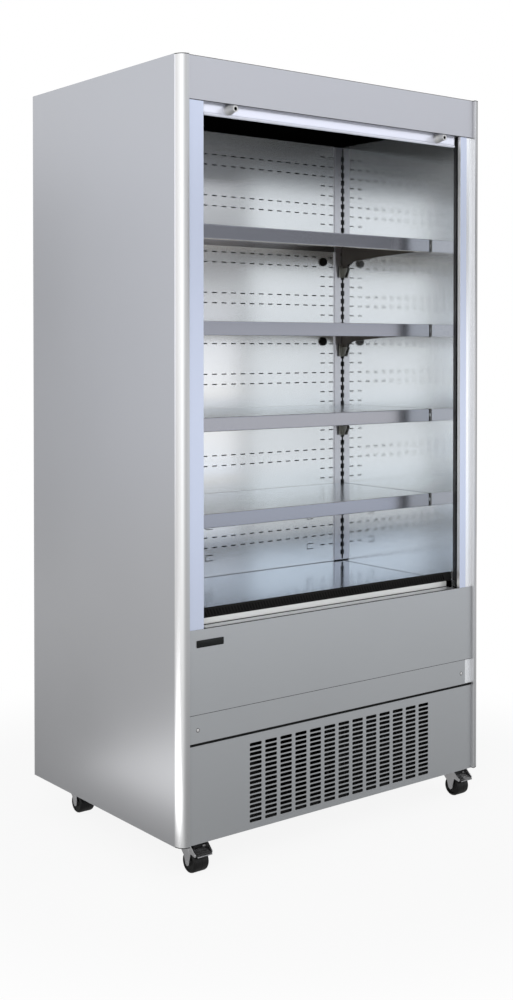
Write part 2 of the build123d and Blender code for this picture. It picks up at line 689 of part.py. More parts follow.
def motor_mount(centre, plate_depth, shaft_front, motor, arm_radius):
    """A motor on four arms behind a fan plate, with its shaft reaching forwards."""
    motor_radius, motor_depth = motor
    x, z = centre
    disc(centre, motor_depth, motor_radius)
    disc(centre, (shaft_front, motor_depth[0] + 1), SHAFT_RADIUS)
    arm_back = motor_depth[0] + 4
    reach = arm_radius / sqrt(2)
    for across in (-1, 1):
        for up in (-1, 1):
            with Locations((x + across * reach, y_at((plate_depth + arm_back) / 2), z + up * reach)):
                Box(5, arm_back - plate_depth, 5)
        with Locations(Location((x, y_at(motor_depth[0] + 2), z), (0, 45 * across, 0))):
            Box(2 * arm_radius, 4, 5)


SHAFT_RADIUS = 3
EVAPORATOR_FANS = {"left": (-200, 508), "right": (200, 508)}
EVAP_FAN_TIP = 58
EVAP_PLATE_DEPTH = (200, 201.5)
EVAP_PLATE_TOP = DECK_TOP - SHEET - 0.2
with BuildPart() as evaporator_plate:
    with BuildSketch(front_plane(EVAP_PLATE_DEPTH[0])):
        patch((-LINER_FIT, LINER_FIT), (WELL_FLOOR + 1, EVAP_PLATE_TOP))
        with Locations(*EVAPORATOR_FANS.values()):
            Circle(EVAP_FAN_TIP + 4, mode=Mode.SUBTRACT)
    extrude(amount=-1.5)
    block((-LINER_FIT, LINER_FIT), (EVAP_PLATE_DEPTH[0], 214), (EVAP_PLATE_TOP - 1.5, EVAP_PLATE_TOP))
    for centre in EVAPORATOR_FANS.values():
        motor_mount(centre, EVAP_PLATE_DEPTH[1], 206, (20, (229, 246)), EVAP_FAN_TIP + 8)
write(evaporator_plate, "evaporator_fan_plate")

for hand, centre in EVAPORATOR_FANS.items():
    with BuildPart() as evaporator_fan:
        fan_rotor(centre, (207, 226), EVAP_FAN_TIP, 16, 5, SHAFT_RADIUS + 0.06)
    write(evaporator_fan, f"evaporator_fan_{hand}")

CONDENSER_FAN = (190, 206)
CONDENSER_FAN_TIP = 86
SHROUD_DEPTH = 108
with BuildPart() as shroud:
    with BuildSketch(front_plane(SHROUD_DEPTH)):
        with Locations(CONDENSER_FAN):
            Rectangle(340, 216)
            Circle(CONDENSER_FAN_TIP + 5, mode=Mode.SUBTRACT)
    extrude(amount=-1.5)
    for edge in (-1, 1):
        block(
            sided(1, CONDENSER_FAN[0] + edge * 170, CONDENSER_FAN[0] + edge * 168.5),
            (SHROUD_DEPTH - 10, SHROUD_DEPTH + 1.5),
            (CONDENSER_FAN[1] - 108, CONDENSER_FAN[1] + 108),
        )
    motor_mount(CONDENSER_FAN, SHROUD_DEPTH + 1.5, 115, (28, (146, 182)), CONDENSER_FAN_TIP + 12)
write(shroud, "condenser_fan_shroud")

with BuildPart() as condenser_fan:
    fan_rotor(CONDENSER_FAN, (116, 143), CONDENSER_FAN_TIP, 24, 5, SHAFT_RADIUS + 0.06)
write(condenser_fan, "condenser_fan")


# ---- finned coils: thin plates threaded on rows of tube, between two end plates ----
def finned_coil(x, depth, z, fins, columns, rows, tube_radius, end_plate_top):
    """Fins evenly spaced along X; an even number of tube rows run through them, joined by end bends."""
    pitch_y = (depth[1] - depth[0]) / columns
    pitch_z = (z[1] - z[0]) / rows
    fin_pitch = (x[1] - x[0]) / (fins - 1)
    for index in range(fins):
        fin_x = x[0] + index * fin_pitch
        block((fin_x - 0.5, fin_x + 0.5), depth, z)
    for end in x:
        block((end - 1, end + 1), depth, (z[0] - 9, end_plate_top))
    for column in range(columns):
        centre_y = y_at(depth[0] + pitch_y * (column + 0.5))
        for row in range(rows):
            with Locations(Location((sum(x) / 2, centre_y, z[0] + pitch_z * (row + 0.5)), (0, 90, 0))):
                Cylinder(tube_radius, x[1] - x[0] + 16)
        for row in range(rows - 1):
            end_x = x[1] + 8 if row % 2 == 0 else x[0] - 8
            with Locations((end_x, centre_y, z[0] + pitch_z * (row + 1))):
                Box(2 * tube_radius, 2 * tube_radius, pitch_z + 2 * tube_radius)
        if column:
            joined_row = 0.5 if column % 2 else rows - 0.5
            with Locations((x[0] - 8, centre_y - pitch_y / 2, z[0] + pitch_z * joined_row)):
                Box(2 * tube_radius, pitch_y + 2 * tube_radius, 2 * tube_radius)


EVAP_COIL_X = (-388, 388)
EVAP_COIL_DEPTH = (252, 472)
EVAP_COIL_Z = (440, 570)
with BuildPart() as evaporator_coil:
    finned_coil(EVAP_COIL_X, EVAP_COIL_DEPTH, EVAP_COIL_Z, 33, 4, 4, 5, EVAP_PLATE_TOP)
write(evaporator_coil, "evaporator_coil")

COND_COIL_X = (38, 342)
COND_COIL_DEPTH = (40, 94)
COND_COIL_Z = (101, 311)
with BuildPart() as condenser_coil:
    finned_coil(COND_COIL_X, COND_COIL_DEPTH, COND_COIL_Z, 26, 2, 6, 4.5, 312)
write(condenser_coil, "condenser_coil")

# ---- machine compartment: base tray, compressor, condensate tray, electrical box, inlet ----
BASE_TOP = 90
BASE_SHEET = 2
BASE_FLANGE = 1.5
BASE_RIM = 115
BASE_FRONT = 12
BASE_CORNER = 26  # behind the posts
CASTOR_BOLT = 21.8
castor_places = {
    (end, hand): (CASTOR_X[hand], CASTOR_DEPTH[end] + TRAIL) for end in CASTOR_DEPTH for hand in CASTOR_X
}
with BuildPart() as base_frame:
    base_bottom = BASE_TOP - BASE_SHEET
    block((-SKIN_HALF, SKIN_HALF), (BASE_CORNER, SKIN_BACK), (base_bottom, BASE_TOP))
    block((-PANEL_HALF, PANEL_HALF), (BASE_FRONT, BASE_CORNER), (base_bottom, BASE_TOP))
    block((-PANEL_HALF, PANEL_HALF), (BASE_FRONT, BASE_FRONT + BASE_FLANGE), (base_bottom, BASE_RIM))
    block((-SKIN_HALF, SKIN_HALF), (SKIN_BACK - BASE_FLANGE, SKIN_BACK), (base_bottom, BASE_RIM))
    for side in SIDES.values():
        block(
            sided(side, SKIN_HALF - BASE_FLANGE, SKIN_HALF), (BASE_CORNER, SKIN_BACK), (base_bottom, BASE_RIM)
        )
    for x, depth in castor_places.values():
        with Locations((x, y_at(depth), BASE_TOP)):
            with GridLocations(2 * CASTOR_BOLT, 2 * CASTOR_BOLT, 2, 2):
                Cylinder(4, 10, mode=Mode.SUBTRACT)
write(base_frame, "base_frame")

COMPRESSOR = (-230, 430)  # X and depth of its vertical axis
COMPRESSOR_RADIUS = 82
COMPRESSOR_Z = (112, 300)
FOOT_REACH = 86
with BuildPart() as compressor:
    low, high = COMPRESSOR_Z
    with Locations((COMPRESSOR[0], y_at(COMPRESSOR[1]), (low + high) / 2)):
        Cylinder(COMPRESSOR_RADIUS, high - low)
    fillet(compressor.edges().filter_by(GeomType.CIRCLE).group_by(Axis.Z)[-1], 46)
    fillet(compressor.edges().filter_by(GeomType.CIRCLE).group_by(Axis.Z)[0], 30)
    with Locations((COMPRESSOR[0], y_at(COMPRESSOR[1]), 205)):
        Cylinder(COMPRESSOR_RADIUS + 4, 6)
    for across in (-1, 1):
        for back in (-1, 1):
            foot_x = COMPRESSOR[0] + across * FOOT_REACH * 0.72
            foot_depth = COMPRESSOR[1] + back * FOOT_REACH * 0.72
            with Locations((foot_x, y_at(foot_depth), 108)):
                Box(56, 56, 4)
            with Locations((foot_x + across * 14, y_at(foot_depth + back * 14), (BASE_TOP + 110) / 2)):
                Cylinder(11, 110 - BASE_TOP - 0.1)
    with Locations((COMPRESSOR[0], y_at(COMPRESSOR[1] - COMPRESSOR_RADIUS - 10), 215)):
        Box(70, 44, 60)
    with Locations((COMPRESSOR[0], y_at(COMPRESSOR[1]), 112)):
        Box(140, 140, 6)
write(compressor, "compressor")

TRAY_X = (60, 440)
TRAY_DEPTH = (260, 560)
TRAY_TOP = 122
with BuildPart() as condensate_tray:
    block(TRAY_X, TRAY_DEPTH, (BASE_TOP + 0.5, TRAY_TOP))
    rim = condensate_tray.faces().sort_by(Axis.Z)[-1]
    offset(amount=-1.5, openings=rim, mode=Mode.REPLACE)
write(condensate_tray, "condensate_tray")

BOX_X = (-462, -330)
BOX_DEPTH = (70, 250)
with BuildPart() as electrical_box:
    block(BOX_X, BOX_DEPTH, (BASE_TOP + 0.5, 250))
    fillet(electrical_box.edges().filter_by(Axis.Z), 5)
    with BuildSketch(Plane.XY.offset(250)):
        with Locations((sum(BOX_X) / 2, y_at(sum(BOX_DEPTH) / 2))):
            RectangleRounded(BOX_X[1] - BOX_X[0] + 4, BOX_DEPTH[1] - BOX_DEPTH[0] + 4, 6)
    extrude(amount=8)
write(electrical_box, "electrical_box")

with BuildPart() as power_inlet:
    with BuildSketch(front_plane(BODY_DEPTH - SHEET - 0.2)):
        with Locations(INLET_CENTRE):
            Rectangle(64, 44)
    extrude(amount=22)
    with BuildSketch(front_plane(BODY_DEPTH - SHEET - 0.2)):
        with Locations(INLET_CENTRE):
            Rectangle(INLET_SIZE[0] - 0.6, INLET_SIZE[1] - 0.6)
            with Locations((0, 0)):
                Rectangle(26, 18, mode=Mode.SUBTRACT)
    extrude(amount=-SHEET)
    with BuildSketch(front_plane(BODY_DEPTH - SHEET - 0.2)):
        with Locations(INLET_CENTRE):
            Rectangle(26, 18)
    extrude(amount=14, mode=Mode.SUBTRACT)
    with BuildSketch(front_plane(BODY_DEPTH - SHEET - 14.2)):
        with Locations(INLET_CENTRE):
            with Locations((-7, -2), (0, 3), (7, -2)):
                Rectangle(2, 5)
    extrude(amount=-10)
write(power_inlet, "power_inlet")


# ---- refrigerant pipes: straight runs joined by bends ----
def pipe(points, radius, bend):
    """A round pipe through (x, depth, z) points."""
    with BuildLine() as route:
        FilletPolyline(*[(x, y_at(depth), z) for x, depth, z in points], radius=bend)
    with BuildSketch(Plane(origin=route.line @ 0, z_dir=route.line % 0)) as bore:
        Circle(radius)
    sweep(bore.sketch, path=route.line)


GAS_X = -60  # the hot gas line's run towards the front
LIQUID_X = PIPE_HOLE[0] + 9
SUCTION_X = PIPE_HOLE[0] - 7
PIPE_DEPTH = PIPE_HOLE[1]
evap_top_row = EVAP_COIL_Z[1] - (EVAP_COIL_Z[1] - EVAP_COIL_Z[0]) / 8
cond_top_row = COND_COIL_Z[1] - (COND_COIL_Z[1] - COND_COIL_Z[0]) / 12
evap_front, evap_back = EVAP_COIL_DEPTH[0] + 27.5, EVAP_COIL_DEPTH[1] - 27.5
cond_front, cond_back = COND_COIL_DEPTH[0] + 13.5, COND_COIL_DEPTH[1] - 13.5
shell_x, shell_depth = COMPRESSOR
with BuildPart() as pipes:
    hot_gas = [
        (shell_x, shell_depth, COMPRESSOR_Z[1] + 0.2),
        (shell_x, shell_depth, 350),
        (GAS_X, shell_depth, 350),
        (GAS_X, cond_back, 350),
        (GAS_X, cond_back, cond_top_row),
        (COND_COIL_X[0] - 8.2, cond_back, cond_top_row),
    ]
    liquid = [
        (COND_COIL_X[0] - 8.2, cond_front, cond_top_row),
        (-10, cond_front, cond_top_row),
        (-10, cond_front, 120),
        (-10, 610, 120),
        (LIQUID_X, 610, 120),
        (LIQUID_X, 610, 340),
        (LIQUID_X, PIPE_DEPTH, 340),
        (LIQUID_X, PIPE_DEPTH, evap_top_row),
        (-428, PIPE_DEPTH, evap_top_row),
        (-428, evap_front, evap_top_row),
        (EVAP_COIL_X[0] - 8.2, evap_front, evap_top_row),
    ]
    suction = [
        (EVAP_COIL_X[0] - 8.2, evap_back, evap_top_row),
        (-413, evap_back, evap_top_row),
        (-413, evap_back, 515),
        (-413, PIPE_DEPTH, 515),
        (SUCTION_X, PIPE_DEPTH, 515),
        (SUCTION_X, PIPE_DEPTH, 330),
        (SUCTION_X, shell_depth, 330),
        (SUCTION_X, shell_depth, 170),
        (shell_x + COMPRESSOR_RADIUS + 0.2, shell_depth, 170),
    ]
    pipe(hot_gas, 4, 18)
    pipe(liquid, 4, 18)
    pipe(suction, 6, 13)
write(pipes, "refrigerant_pipes")

# ---- castors: fixed plate with kingpin, swivelling fork with axle, wheel, brake pedal ----
PLATE_Z = (FLOOR_GAP, BASE_TOP - BASE_SHEET)
PLATE_HALF = 28
KINGPIN_RADIUS = 6
FORK_PLATE_Z = (73, 76.5)
FORK_INNER = WHEEL_HALF + 1
FORK_SHEET = 2.5
PEDAL_PIVOT = (56, 61)  # depth and height of the pedal's hinge line on the front castors
PEDAL_PIN_RADIUS = 2.5


def lathe(x, depth, corners):
    """A solid turned about the vertical line at this place, from (radius, height) corners."""
    with BuildSketch(Plane(origin=(x, y_at(depth), 0), x_dir=(1, 0, 0), z_dir=(0, -1, 0))) as half:
        outline(corners)
    revolve(half.sketch, axis=Axis(origin=(x, y_at(depth), 0), direction=(0, 0, 1)))


with BuildPart() as castor_plates:
    for x, depth in castor_places.values():
        lathe(
            x,
            depth,
            [(0, PLATE_Z[1]), (27, PLATE_Z[1]), (27, PLATE_Z[0]), (24, 77.2), (19, 77.2),
             (19, PLATE_Z[0] - 1), (KINGPIN_RADIUS, PLATE_Z[0] - 1), (KINGPIN_RADIUS, 72.5),
             (9.5, 72.5), (9.5, 70), (0, 70)],
        )
        with BuildSketch(Plane.XY.offset(PLATE_Z[0])):
            with Locations((x, y_at(depth))):
                RectangleRounded(2 * PLATE_HALF, 2 * PLATE_HALF, 6)
                with GridLocations(2 * CASTOR_BOLT, 2 * CASTOR_BOLT, 2, 2):
                    Circle(3.3, mode=Mode.SUBTRACT)
        extrude(amount=PLATE_Z[1] - PLATE_Z[0])
write(castor_plates, "castor_plates")

for (end, hand), (x, swivel_depth) in castor_places.items():
    wheel_depth = CASTOR_DEPTH[end]
    braked = end == "front"
    with BuildPart() as fork:
        lathe(
            x,
            swivel_depth,
            [(KINGPIN_RADIUS + 0.08, FORK_PLATE_Z[0]), (FORK_INNER + FORK_SHEET, FORK_PLATE_Z[0]),
             (FORK_INNER + FORK_SHEET, FORK_PLATE_Z[1]), (KINGPIN_RADIUS + 0.08, FORK_PLATE_Z[1])],
        )
        front_arm = [(-6, FORK_PLATE_Z[1]), (-34, 52), (-32, 46), (-14, 50), (-9, 34)]
        short_arm = [(-2, FORK_PLATE_Z[1]), (-9, 34)]
        leg = [(TRAIL + 18, FORK_PLATE_Z[1])] + (front_arm if braked else short_arm)
        leg += [(-7, 22), (0, 17), (7, 22), (13, 40), (TRAIL + 18, 66)]
        for side in SIDES.values():
            with BuildSketch(side_plane(x + side * FORK_INNER)):
                outline([(y_at(wheel_depth + offset_y), height) for offset_y, height in leg])
            extrude(amount=side * FORK_SHEET)
            if braked:
                with BuildSketch(side_plane(x + side * FORK_INNER)):
                    with Locations((y_at(PEDAL_PIVOT[0]), PEDAL_PIVOT[1])):
                        Circle(PEDAL_PIN_RADIUS + 0.08)
                extrude(amount=side * FORK_SHEET, mode=Mode.SUBTRACT)
        for side in SIDES.values():
            block(
                sided(1, x + side * (FORK_INNER - 3), x + side * (FORK_INNER + FORK_SHEET)),
                (swivel_depth - 12, swivel_depth + 12),
                FORK_PLATE_Z,
            )
        with BuildSketch(side_plane(x)):
            with Locations((y_at(wheel_depth), WHEEL_RADIUS)):
                Circle(AXLE_RADIUS)
        extrude(amount=FORK_INNER + FORK_SHEET, both=True)
    write(fork, f"castor_fork_{end}_{hand}")

    with BuildPart() as wheel:
        hub_y = y_at(wheel_depth)
        with BuildSketch(Plane(origin=(x, hub_y, WHEEL_RADIUS), x_dir=(1, 0, 0), z_dir=(0, 0, 1))):
            half_outline = [
                (0.7, AXLE_RADIUS + 0.08),
                (WHEEL_HALF, AXLE_RADIUS + 0.08),
                (WHEEL_HALF, 8),
                (WHEEL_HALF - 3, 10),
                (WHEEL_HALF - 3, 17),
                (WHEEL_HALF - 0.5, 19),
                (WHEEL_HALF - 0.5, WHEEL_RADIUS - 4),
                (WHEEL_HALF - 2, WHEEL_RADIUS - 1),
                (WHEEL_HALF - 5, WHEEL_RADIUS),
                (1.2, WHEEL_RADIUS),
                (0.7, WHEEL_RADIUS - 1.5),
            ]
            mirrored = [(-u, v) for u, v in reversed(half_outline)]
            outline(half_outline + mirrored)
        revolve(axis=Axis(origin=(x, hub_y, WHEEL_RADIUS), direction=(1, 0, 0)))
    write(wheel, f"castor_wheel_{end}_{hand}")

    if braked:
        with BuildPart() as pedal:
            with BuildSketch(side_plane(x)):
                pedal_side = [
                    (52, 55.5), (20, 45.5), (19, 48), (49, 58.5), (49, 64),
                    (53, 69), (60, 69), (62, 64), (62, 58), (58, 56),
                ]
                outline([(y_at(depth), height) for depth, height in pedal_side])
            extrude(amount=14, both=True)
            with BuildSketch(side_plane(x)):
                tread = [(50, 55), (20, 45.5), (19, 48), (49, 58.5)]
                outline([(y_at(depth), height) for depth, height in tread])
            extrude(amount=21, both=True)
            with BuildSketch(side_plane(x)):
                with Locations((y_at(PEDAL_PIVOT[0]), PEDAL_PIVOT[1])):
                    Circle(PEDAL_PIN_RADIUS)
            extrude(amount=FORK_INNER + FORK_SHEET - 0.3, both=True)
        write(pedal, f"brake_pedal_{hand}")
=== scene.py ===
from math import cos, pi, radians, sin, tan

import bmesh
import bpy
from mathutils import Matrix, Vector


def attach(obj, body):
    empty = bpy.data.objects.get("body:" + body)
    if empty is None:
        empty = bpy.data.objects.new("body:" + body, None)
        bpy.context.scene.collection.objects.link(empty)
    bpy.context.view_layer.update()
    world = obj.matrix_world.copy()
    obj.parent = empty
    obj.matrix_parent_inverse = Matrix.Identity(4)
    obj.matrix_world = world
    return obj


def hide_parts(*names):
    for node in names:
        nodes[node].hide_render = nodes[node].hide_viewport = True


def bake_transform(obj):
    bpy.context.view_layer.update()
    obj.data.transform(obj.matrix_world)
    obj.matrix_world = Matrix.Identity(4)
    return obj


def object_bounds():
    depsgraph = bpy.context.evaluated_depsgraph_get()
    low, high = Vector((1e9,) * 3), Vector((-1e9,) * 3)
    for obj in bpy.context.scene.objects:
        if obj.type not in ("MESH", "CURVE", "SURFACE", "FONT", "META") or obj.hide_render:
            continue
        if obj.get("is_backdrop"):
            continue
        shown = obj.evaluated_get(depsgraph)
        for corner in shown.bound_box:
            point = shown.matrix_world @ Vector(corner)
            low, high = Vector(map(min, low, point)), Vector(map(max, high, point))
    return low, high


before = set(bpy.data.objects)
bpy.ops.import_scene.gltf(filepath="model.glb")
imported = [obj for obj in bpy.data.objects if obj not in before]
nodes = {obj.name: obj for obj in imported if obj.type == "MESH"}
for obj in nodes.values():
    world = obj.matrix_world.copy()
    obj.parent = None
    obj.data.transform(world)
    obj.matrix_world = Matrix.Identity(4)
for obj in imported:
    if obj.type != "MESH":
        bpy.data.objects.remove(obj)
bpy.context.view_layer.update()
scene = bpy.context.scene
scene.view_settings.view_transform = "Standard"


# The studio: a pale floor that runs out to white, one broad lamp at the left, a weaker one at the
# right, and grey or tinted cards that only the metal's reflections see.
class Socket:
    """A shader socket that can be used in sums; any other node comes from its node method."""

    def __init__(self, tree, socket=None):
        self.tree = tree
        self.socket = socket

    def node(self, kind, settings=None, values=None, output=0):
        made = self.tree.nodes.new(kind)
        for name, setting in (settings or {}).items():
            setattr(made, name, setting)
        for name, value in (values or {}).items():
            if isinstance(value, Socket):
                self.tree.links.new(value.socket, made.inputs[name])
            else:
                made.inputs[name].default_value = value
        return Socket(self.tree, made.outputs[output] if made.outputs else None)

    def maths(self, operation, first, second=0.0):
        return self.node("ShaderNodeMath", {"operation": operation}, {0: first, 1: second})

    def __add__(self, other):
        return self.maths("ADD", self, other)

    def __sub__(self, other):
        return self.maths("SUBTRACT", self, other)

    def __mul__(self, other):
        return self.maths("MULTIPLY", self, other)


def grey(level):
    return (level, level, level, 1.0)


def new_finish(name):
    """An empty material and a handle on its nodes."""
    finish = bpy.data.materials.new(name)
    finish.use_nodes = True
    finish.node_tree.nodes.clear()
    return finish, Socket(finish.node_tree)


AMBIENT = 0.42  # the white surroundings' own light on the object
world = bpy.data.worlds.new("studio")
world.use_nodes = True
world.node_tree.nodes.clear()
scene.world = world
air = Socket(world.node_tree)
rays = [air.node("ShaderNodeLightPath", output=name) for name in
        ("Is Camera Ray", "Is Glossy Ray", "Is Transmission Ray")]
seen = air.maths("MINIMUM", rays[0] + rays[1] + rays[2], 1.0)
sky = air.node("ShaderNodeBackground", {}, {
    "Color": grey(1.0), "Strength": seen * (1 - AMBIENT) + AMBIENT})
air.node("ShaderNodeOutputWorld", {}, {"Surface": sky})


def stage_sheet(name, size, finish):
    """A flat square of the studio, not part of the object."""
    sheet = bmesh.new()
    bmesh.ops.create_grid(sheet, x_segments=1, y_segments=1, size=0.5)
    bmesh.ops.scale(sheet, vec=(size[0], size[1], 1), verts=sheet.verts)
    data = bpy.data.meshes.new(name)
    sheet.to_mesh(data)
    sheet.free()
    data.materials.append(finish)
    holder = bpy.data.objects.new(name, data)
    scene.collection.objects.link(holder)
    holder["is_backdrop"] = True
    return holder


FLOOR_WHITE = 0.9  # the share of the near floor that is plain white; the rest takes the shadow
FLOOR_SIZE = 28
floor_finish, wires = new_finish("floor")
shadowed = wires.node("ShaderNodeBsdfDiffuse", {}, {"Color": grey(0.8)})
mirrored = wires.node("ShaderNodeLightPath", output="Is Glossy Ray")
apart = wires.node("ShaderNodeVectorMath", {"operation": "LENGTH"},
                   {0: wires.node("ShaderNodeTexCoord", output="Object")}, output="Value")
seen_in_metal = wires.node("ShaderNodeMapRange", {}, {
    "Value": apart, "From Min": 0.6, "From Max": 3.5, "To Min": 0.36, "To Max": 0.72})
bright = wires.node("ShaderNodeEmission", {}, {
    "Color": grey(1.0), "Strength": mirrored * (seen_in_metal - 1.0) + 1.0})
away = wires.node("ShaderNodeMapRange", {"interpolation_type": "SMOOTHSTEP"},
                  {"Value": apart, "From Min": 0.8, "From Max": 1.5, "To Min": FLOOR_WHITE})
share = wires.maths("MAXIMUM", away, mirrored)
mixed = wires.node("ShaderNodeMixShader", {}, {"Fac": share, 1: shadowed, 2: bright})
wires.node("ShaderNodeOutputMaterial", {}, {"Surface": mixed})
stage_sheet("floor", (FLOOR_SIZE, FLOOR_SIZE), floor_finish)


def aim(thing, place, target):
    thing.location = place
    thing.rotation_euler = (Vector(target) - Vector(place)).to_track_quat("-Z", "Y").to_euler()


def lamp(name, place, target, size, watts):
    light = bpy.data.lights.new(name, "AREA")
    light.shape = "RECTANGLE"
    light.size, light.size_y = size
    light.energy = watts
    holder = bpy.data.objects.new(name, light)
    scene.collection.objects.link(holder)
    aim(holder, place, target)
    holder.visible_glossy = False


lamp("key", (-3.2, -3.2, 3.2), (0, 0, 1.2), (2.4, 2.4), 85)
lamp("fill", (2.6, -3.8, 2.0), (0, 0, 1.0), (2.0, 2.4), 28)


def card(name, place, target, size, shade, tint=(1, 1, 1)):
    """A grey or tinted card that shows only in reflections."""
    paint, sockets = new_finish(name)
    glow = sockets.node("ShaderNodeEmission", {}, {"Color": (*tint, 1.0), "Strength": shade})
    sockets.node("ShaderNodeOutputMaterial", {}, {"Surface": glow})
    holder = stage_sheet(name, size, paint)
    aim(holder, place, target)
    holder.visible_camera = False
    holder.visible_diffuse = False
    holder.visible_shadow = False


card("right_card", (5.0, 1.4, 1.6), (0, 1.4, 1.6), (6.0, 5.0), 0.42)
card("back_card", (-1.35, 4.2, 1.0), (-1.35, 0, 1.0), (3.7, 2.4), 0.48)
card("blue_card", (-4.2, 4.35, 2.0), (0, 0, 1.8), (2.2, 3.6), 1.36, (0.95, 0.98, 1.07))
card("left_card", (-3.9, -4.0, 1.6), (0, -0.2, 1.6), (3.0, 4.4), 1.15, (0.99, 1.0, 1.01))
card("floor_board", (-1.6, -0.1, 0.01), (-1.6, -0.1, 1), (1.6, 1.3), 1.9)
card("front_band", (3.4, -4.4, 1.95), (0, 0, 1.95), (6.0, 0.8), 0.12)
card("warm_band", (3.25, -4.6, 0.66), (0, 0, 0.66), (6.0, 0.42), 1.2, (1.06, 1.0, 0.9))
card("cool_band", (3.25, -4.6, 0.22), (0, 0, 0.22), (6.0, 0.4), 1.15, (0.84, 0.95, 1.14))
card("front_card", (3.3, -4.7, 1.9), (0, 0, 1.9), (6.4, 4.4), 1.25, (0.97, 0.985, 1.03))

# The camera stands in front of the left corner at chest height and looks almost level; the shift
# slides its frame down over the object.
camera_data = bpy.data.cameras.new("camera")
camera_data.sensor_width = 36
camera_data.lens = 47.99
camera_data.shift_y = -0.1306
camera = bpy.data.objects.new("camera", camera_data)
camera.location = (-2.233, -2.84185, 1.2383)
camera.rotation_euler = (radians(90 - 0.944), 0, radians(-38.0))
scene.collection.objects.link(camera)
scene.camera = camera

# Back, roof and the hidden plates are folded hot-dip galvanised sheet, screwed together round the foam:
# pale grey metal with a faint patchwork of crystals.
FRONT_Y = -0.34225  # front faces of the corner posts; depths run backwards from here
BODY_LOW = 85  # the body's underside, in millimetres above the floor


def spot(x, depth, height):
    """A place in the shared frame from millimetres across, behind the posts' fronts and up."""
    return Vector((x / 1000, FRONT_Y + depth / 1000, height / 1000))


def metal(name, colour, roughness, metallic=1.0, grain=0.12, patches=0.1, drawn=(1, 1, 1), relief=0.02,
          spread=0.1, top=None, underside=None, sides=None, front=None):
    """Bare or coated sheet: broad patches and a fine grain drawn out along the rolling direction; faces
    that look up, down, sideways or forwards may take a colour of their own, which paints light and
    shade on them."""
    finish, sockets = new_finish(name)
    place = sockets.node("ShaderNodeTexCoord", output="Object")
    along = sockets.node("ShaderNodeMapping", {}, {"Vector": place, "Scale": drawn})
    fine = sockets.node("ShaderNodeTexNoise", {}, {"Vector": along, "Scale": 900.0, "Detail": 3.0})
    broad = sockets.node("ShaderNodeTexNoise", {}, {"Vector": place, "Scale": 3.0, "Detail": 2.0})
    shade = fine * grain + broad * patches + (1 - grain / 2 - patches / 2)
    tint = colour
    facing = sockets.node("ShaderNodeTexCoord", output="Normal")
    across, inwards, height = [
        sockets.node("ShaderNodeSeparateXYZ", {}, {"Vector": facing}, output=axis) for axis in "XYZ"]
    # Each facing colour paints light and shade on the faces that turn its way.
    for facing_light_and_shade, turned_to in ((top, height), (underside, height * -1.0), (front, inwards * -1.0),
                           (sides, sockets.maths("ABSOLUTE", across))):
        if facing_light_and_shade:
            level = sockets.node("ShaderNodeMapRange", {"interpolation_type": "SMOOTHSTEP"},
                                 {"Value": turned_to, "From Min": 0.78, "From Max": 0.98})
            change = [mine - common for mine, common in zip(facing_light_and_shade, colour)]
            tint = sockets.node("ShaderNodeVectorMath", {"operation": "MULTIPLY_ADD"},
                                {0: level, 1: change, 2: tint})
    tinted = sockets.node("ShaderNodeVectorMath", {"operation": "SCALE"}, {0: tint, "Scale": shade})
    bumps = sockets.node("ShaderNodeBump", {}, {"Height": fine, "Strength": relief, "Distance": 0.001})
    shader = sockets.node("ShaderNodeBsdfPrincipled", {}, {
        "Base Color": tinted, "Metallic": metallic,
        "Roughness": fine * (spread / 2) + broad * (spread / 2) + (roughness - spread / 2),
        "Normal": bumps})
    sockets.node("ShaderNodeOutputMaterial", {}, {"Surface": shader})
    return finish


def repaint(finish, *names):
    """Gives CAD nodes a better finish."""
    for name in names:
        nodes[name].data.materials.clear()
        nodes[name].data.materials.append(finish)


galvanised = metal("galvanised", (0.50, 0.52, 0.54), 0.42, grain=0.1, patches=0.5)
repaint(galvanised, "back_panel", "top_panel", "blind_cassette", "evaporator_fan_plate")


# Castors: a zinc-plated top plate with ball race and kingpin, a pressed fork and a black wheel with two
# rubber treads. The plates are bolted under the base frame; the front two forks carry a black brake
# pedal with a ribbed steel tread.
def plastic(name, colour, roughness, relief=0.08, scale=1400.0, uneven=0.12, specular=0.5):
    """Moulded plastic, rubber or enamel: uneven gloss and a fine texture."""
    finish, sockets = new_finish(name)
    place = sockets.node("ShaderNodeTexCoord", output="Object")
    fine = sockets.node("ShaderNodeTexNoise", {}, {"Vector": place, "Scale": scale, "Detail": 2.0})
    broad = sockets.node("ShaderNodeTexNoise", {}, {"Vector": place, "Scale": 14.0, "Detail": 2.0})
    tinted = sockets.node("ShaderNodeVectorMath", {"operation": "SCALE"},
                          {0: colour, "Scale": broad * 0.3 + 0.85})
    bumps = sockets.node("ShaderNodeBump", {}, {"Height": fine, "Strength": relief, "Distance": 0.001})
    shader = sockets.node("ShaderNodeBsdfPrincipled", {}, {
        "Base Color": tinted, "Roughness": broad * uneven + (roughness - uneven / 2),
        "Specular IOR Level": specular, "Normal": bumps})
    sockets.node("ShaderNodeOutputMaterial", {}, {"Surface": shader})
    return finish


def rounded(corners, radius, closed=True, steps=4):
    """An outline in 2-D or 3-D with its corners turned into arcs; an open one keeps its ends."""
    points = [Vector(corner) for corner in corners]
    result = []
    for index, corner in enumerate(points):
        if not closed and index in (0, len(points) - 1):
            result.append(corner)
            continue
        before = points[index - 1] - corner
        after = points[(index + 1) % len(points)] - corner
        bend = before.angle(after)
        reach = min(radius / tan(bend / 2), before.length * 0.49, after.length * 0.49)
        start = corner + before.normalized() * reach
        end = corner + after.normalized() * reach
        for step in range(steps + 1):
            turn = step / steps
            result.append(start.lerp(corner, turn).lerp(corner.lerp(end, turn), turn))
    return result


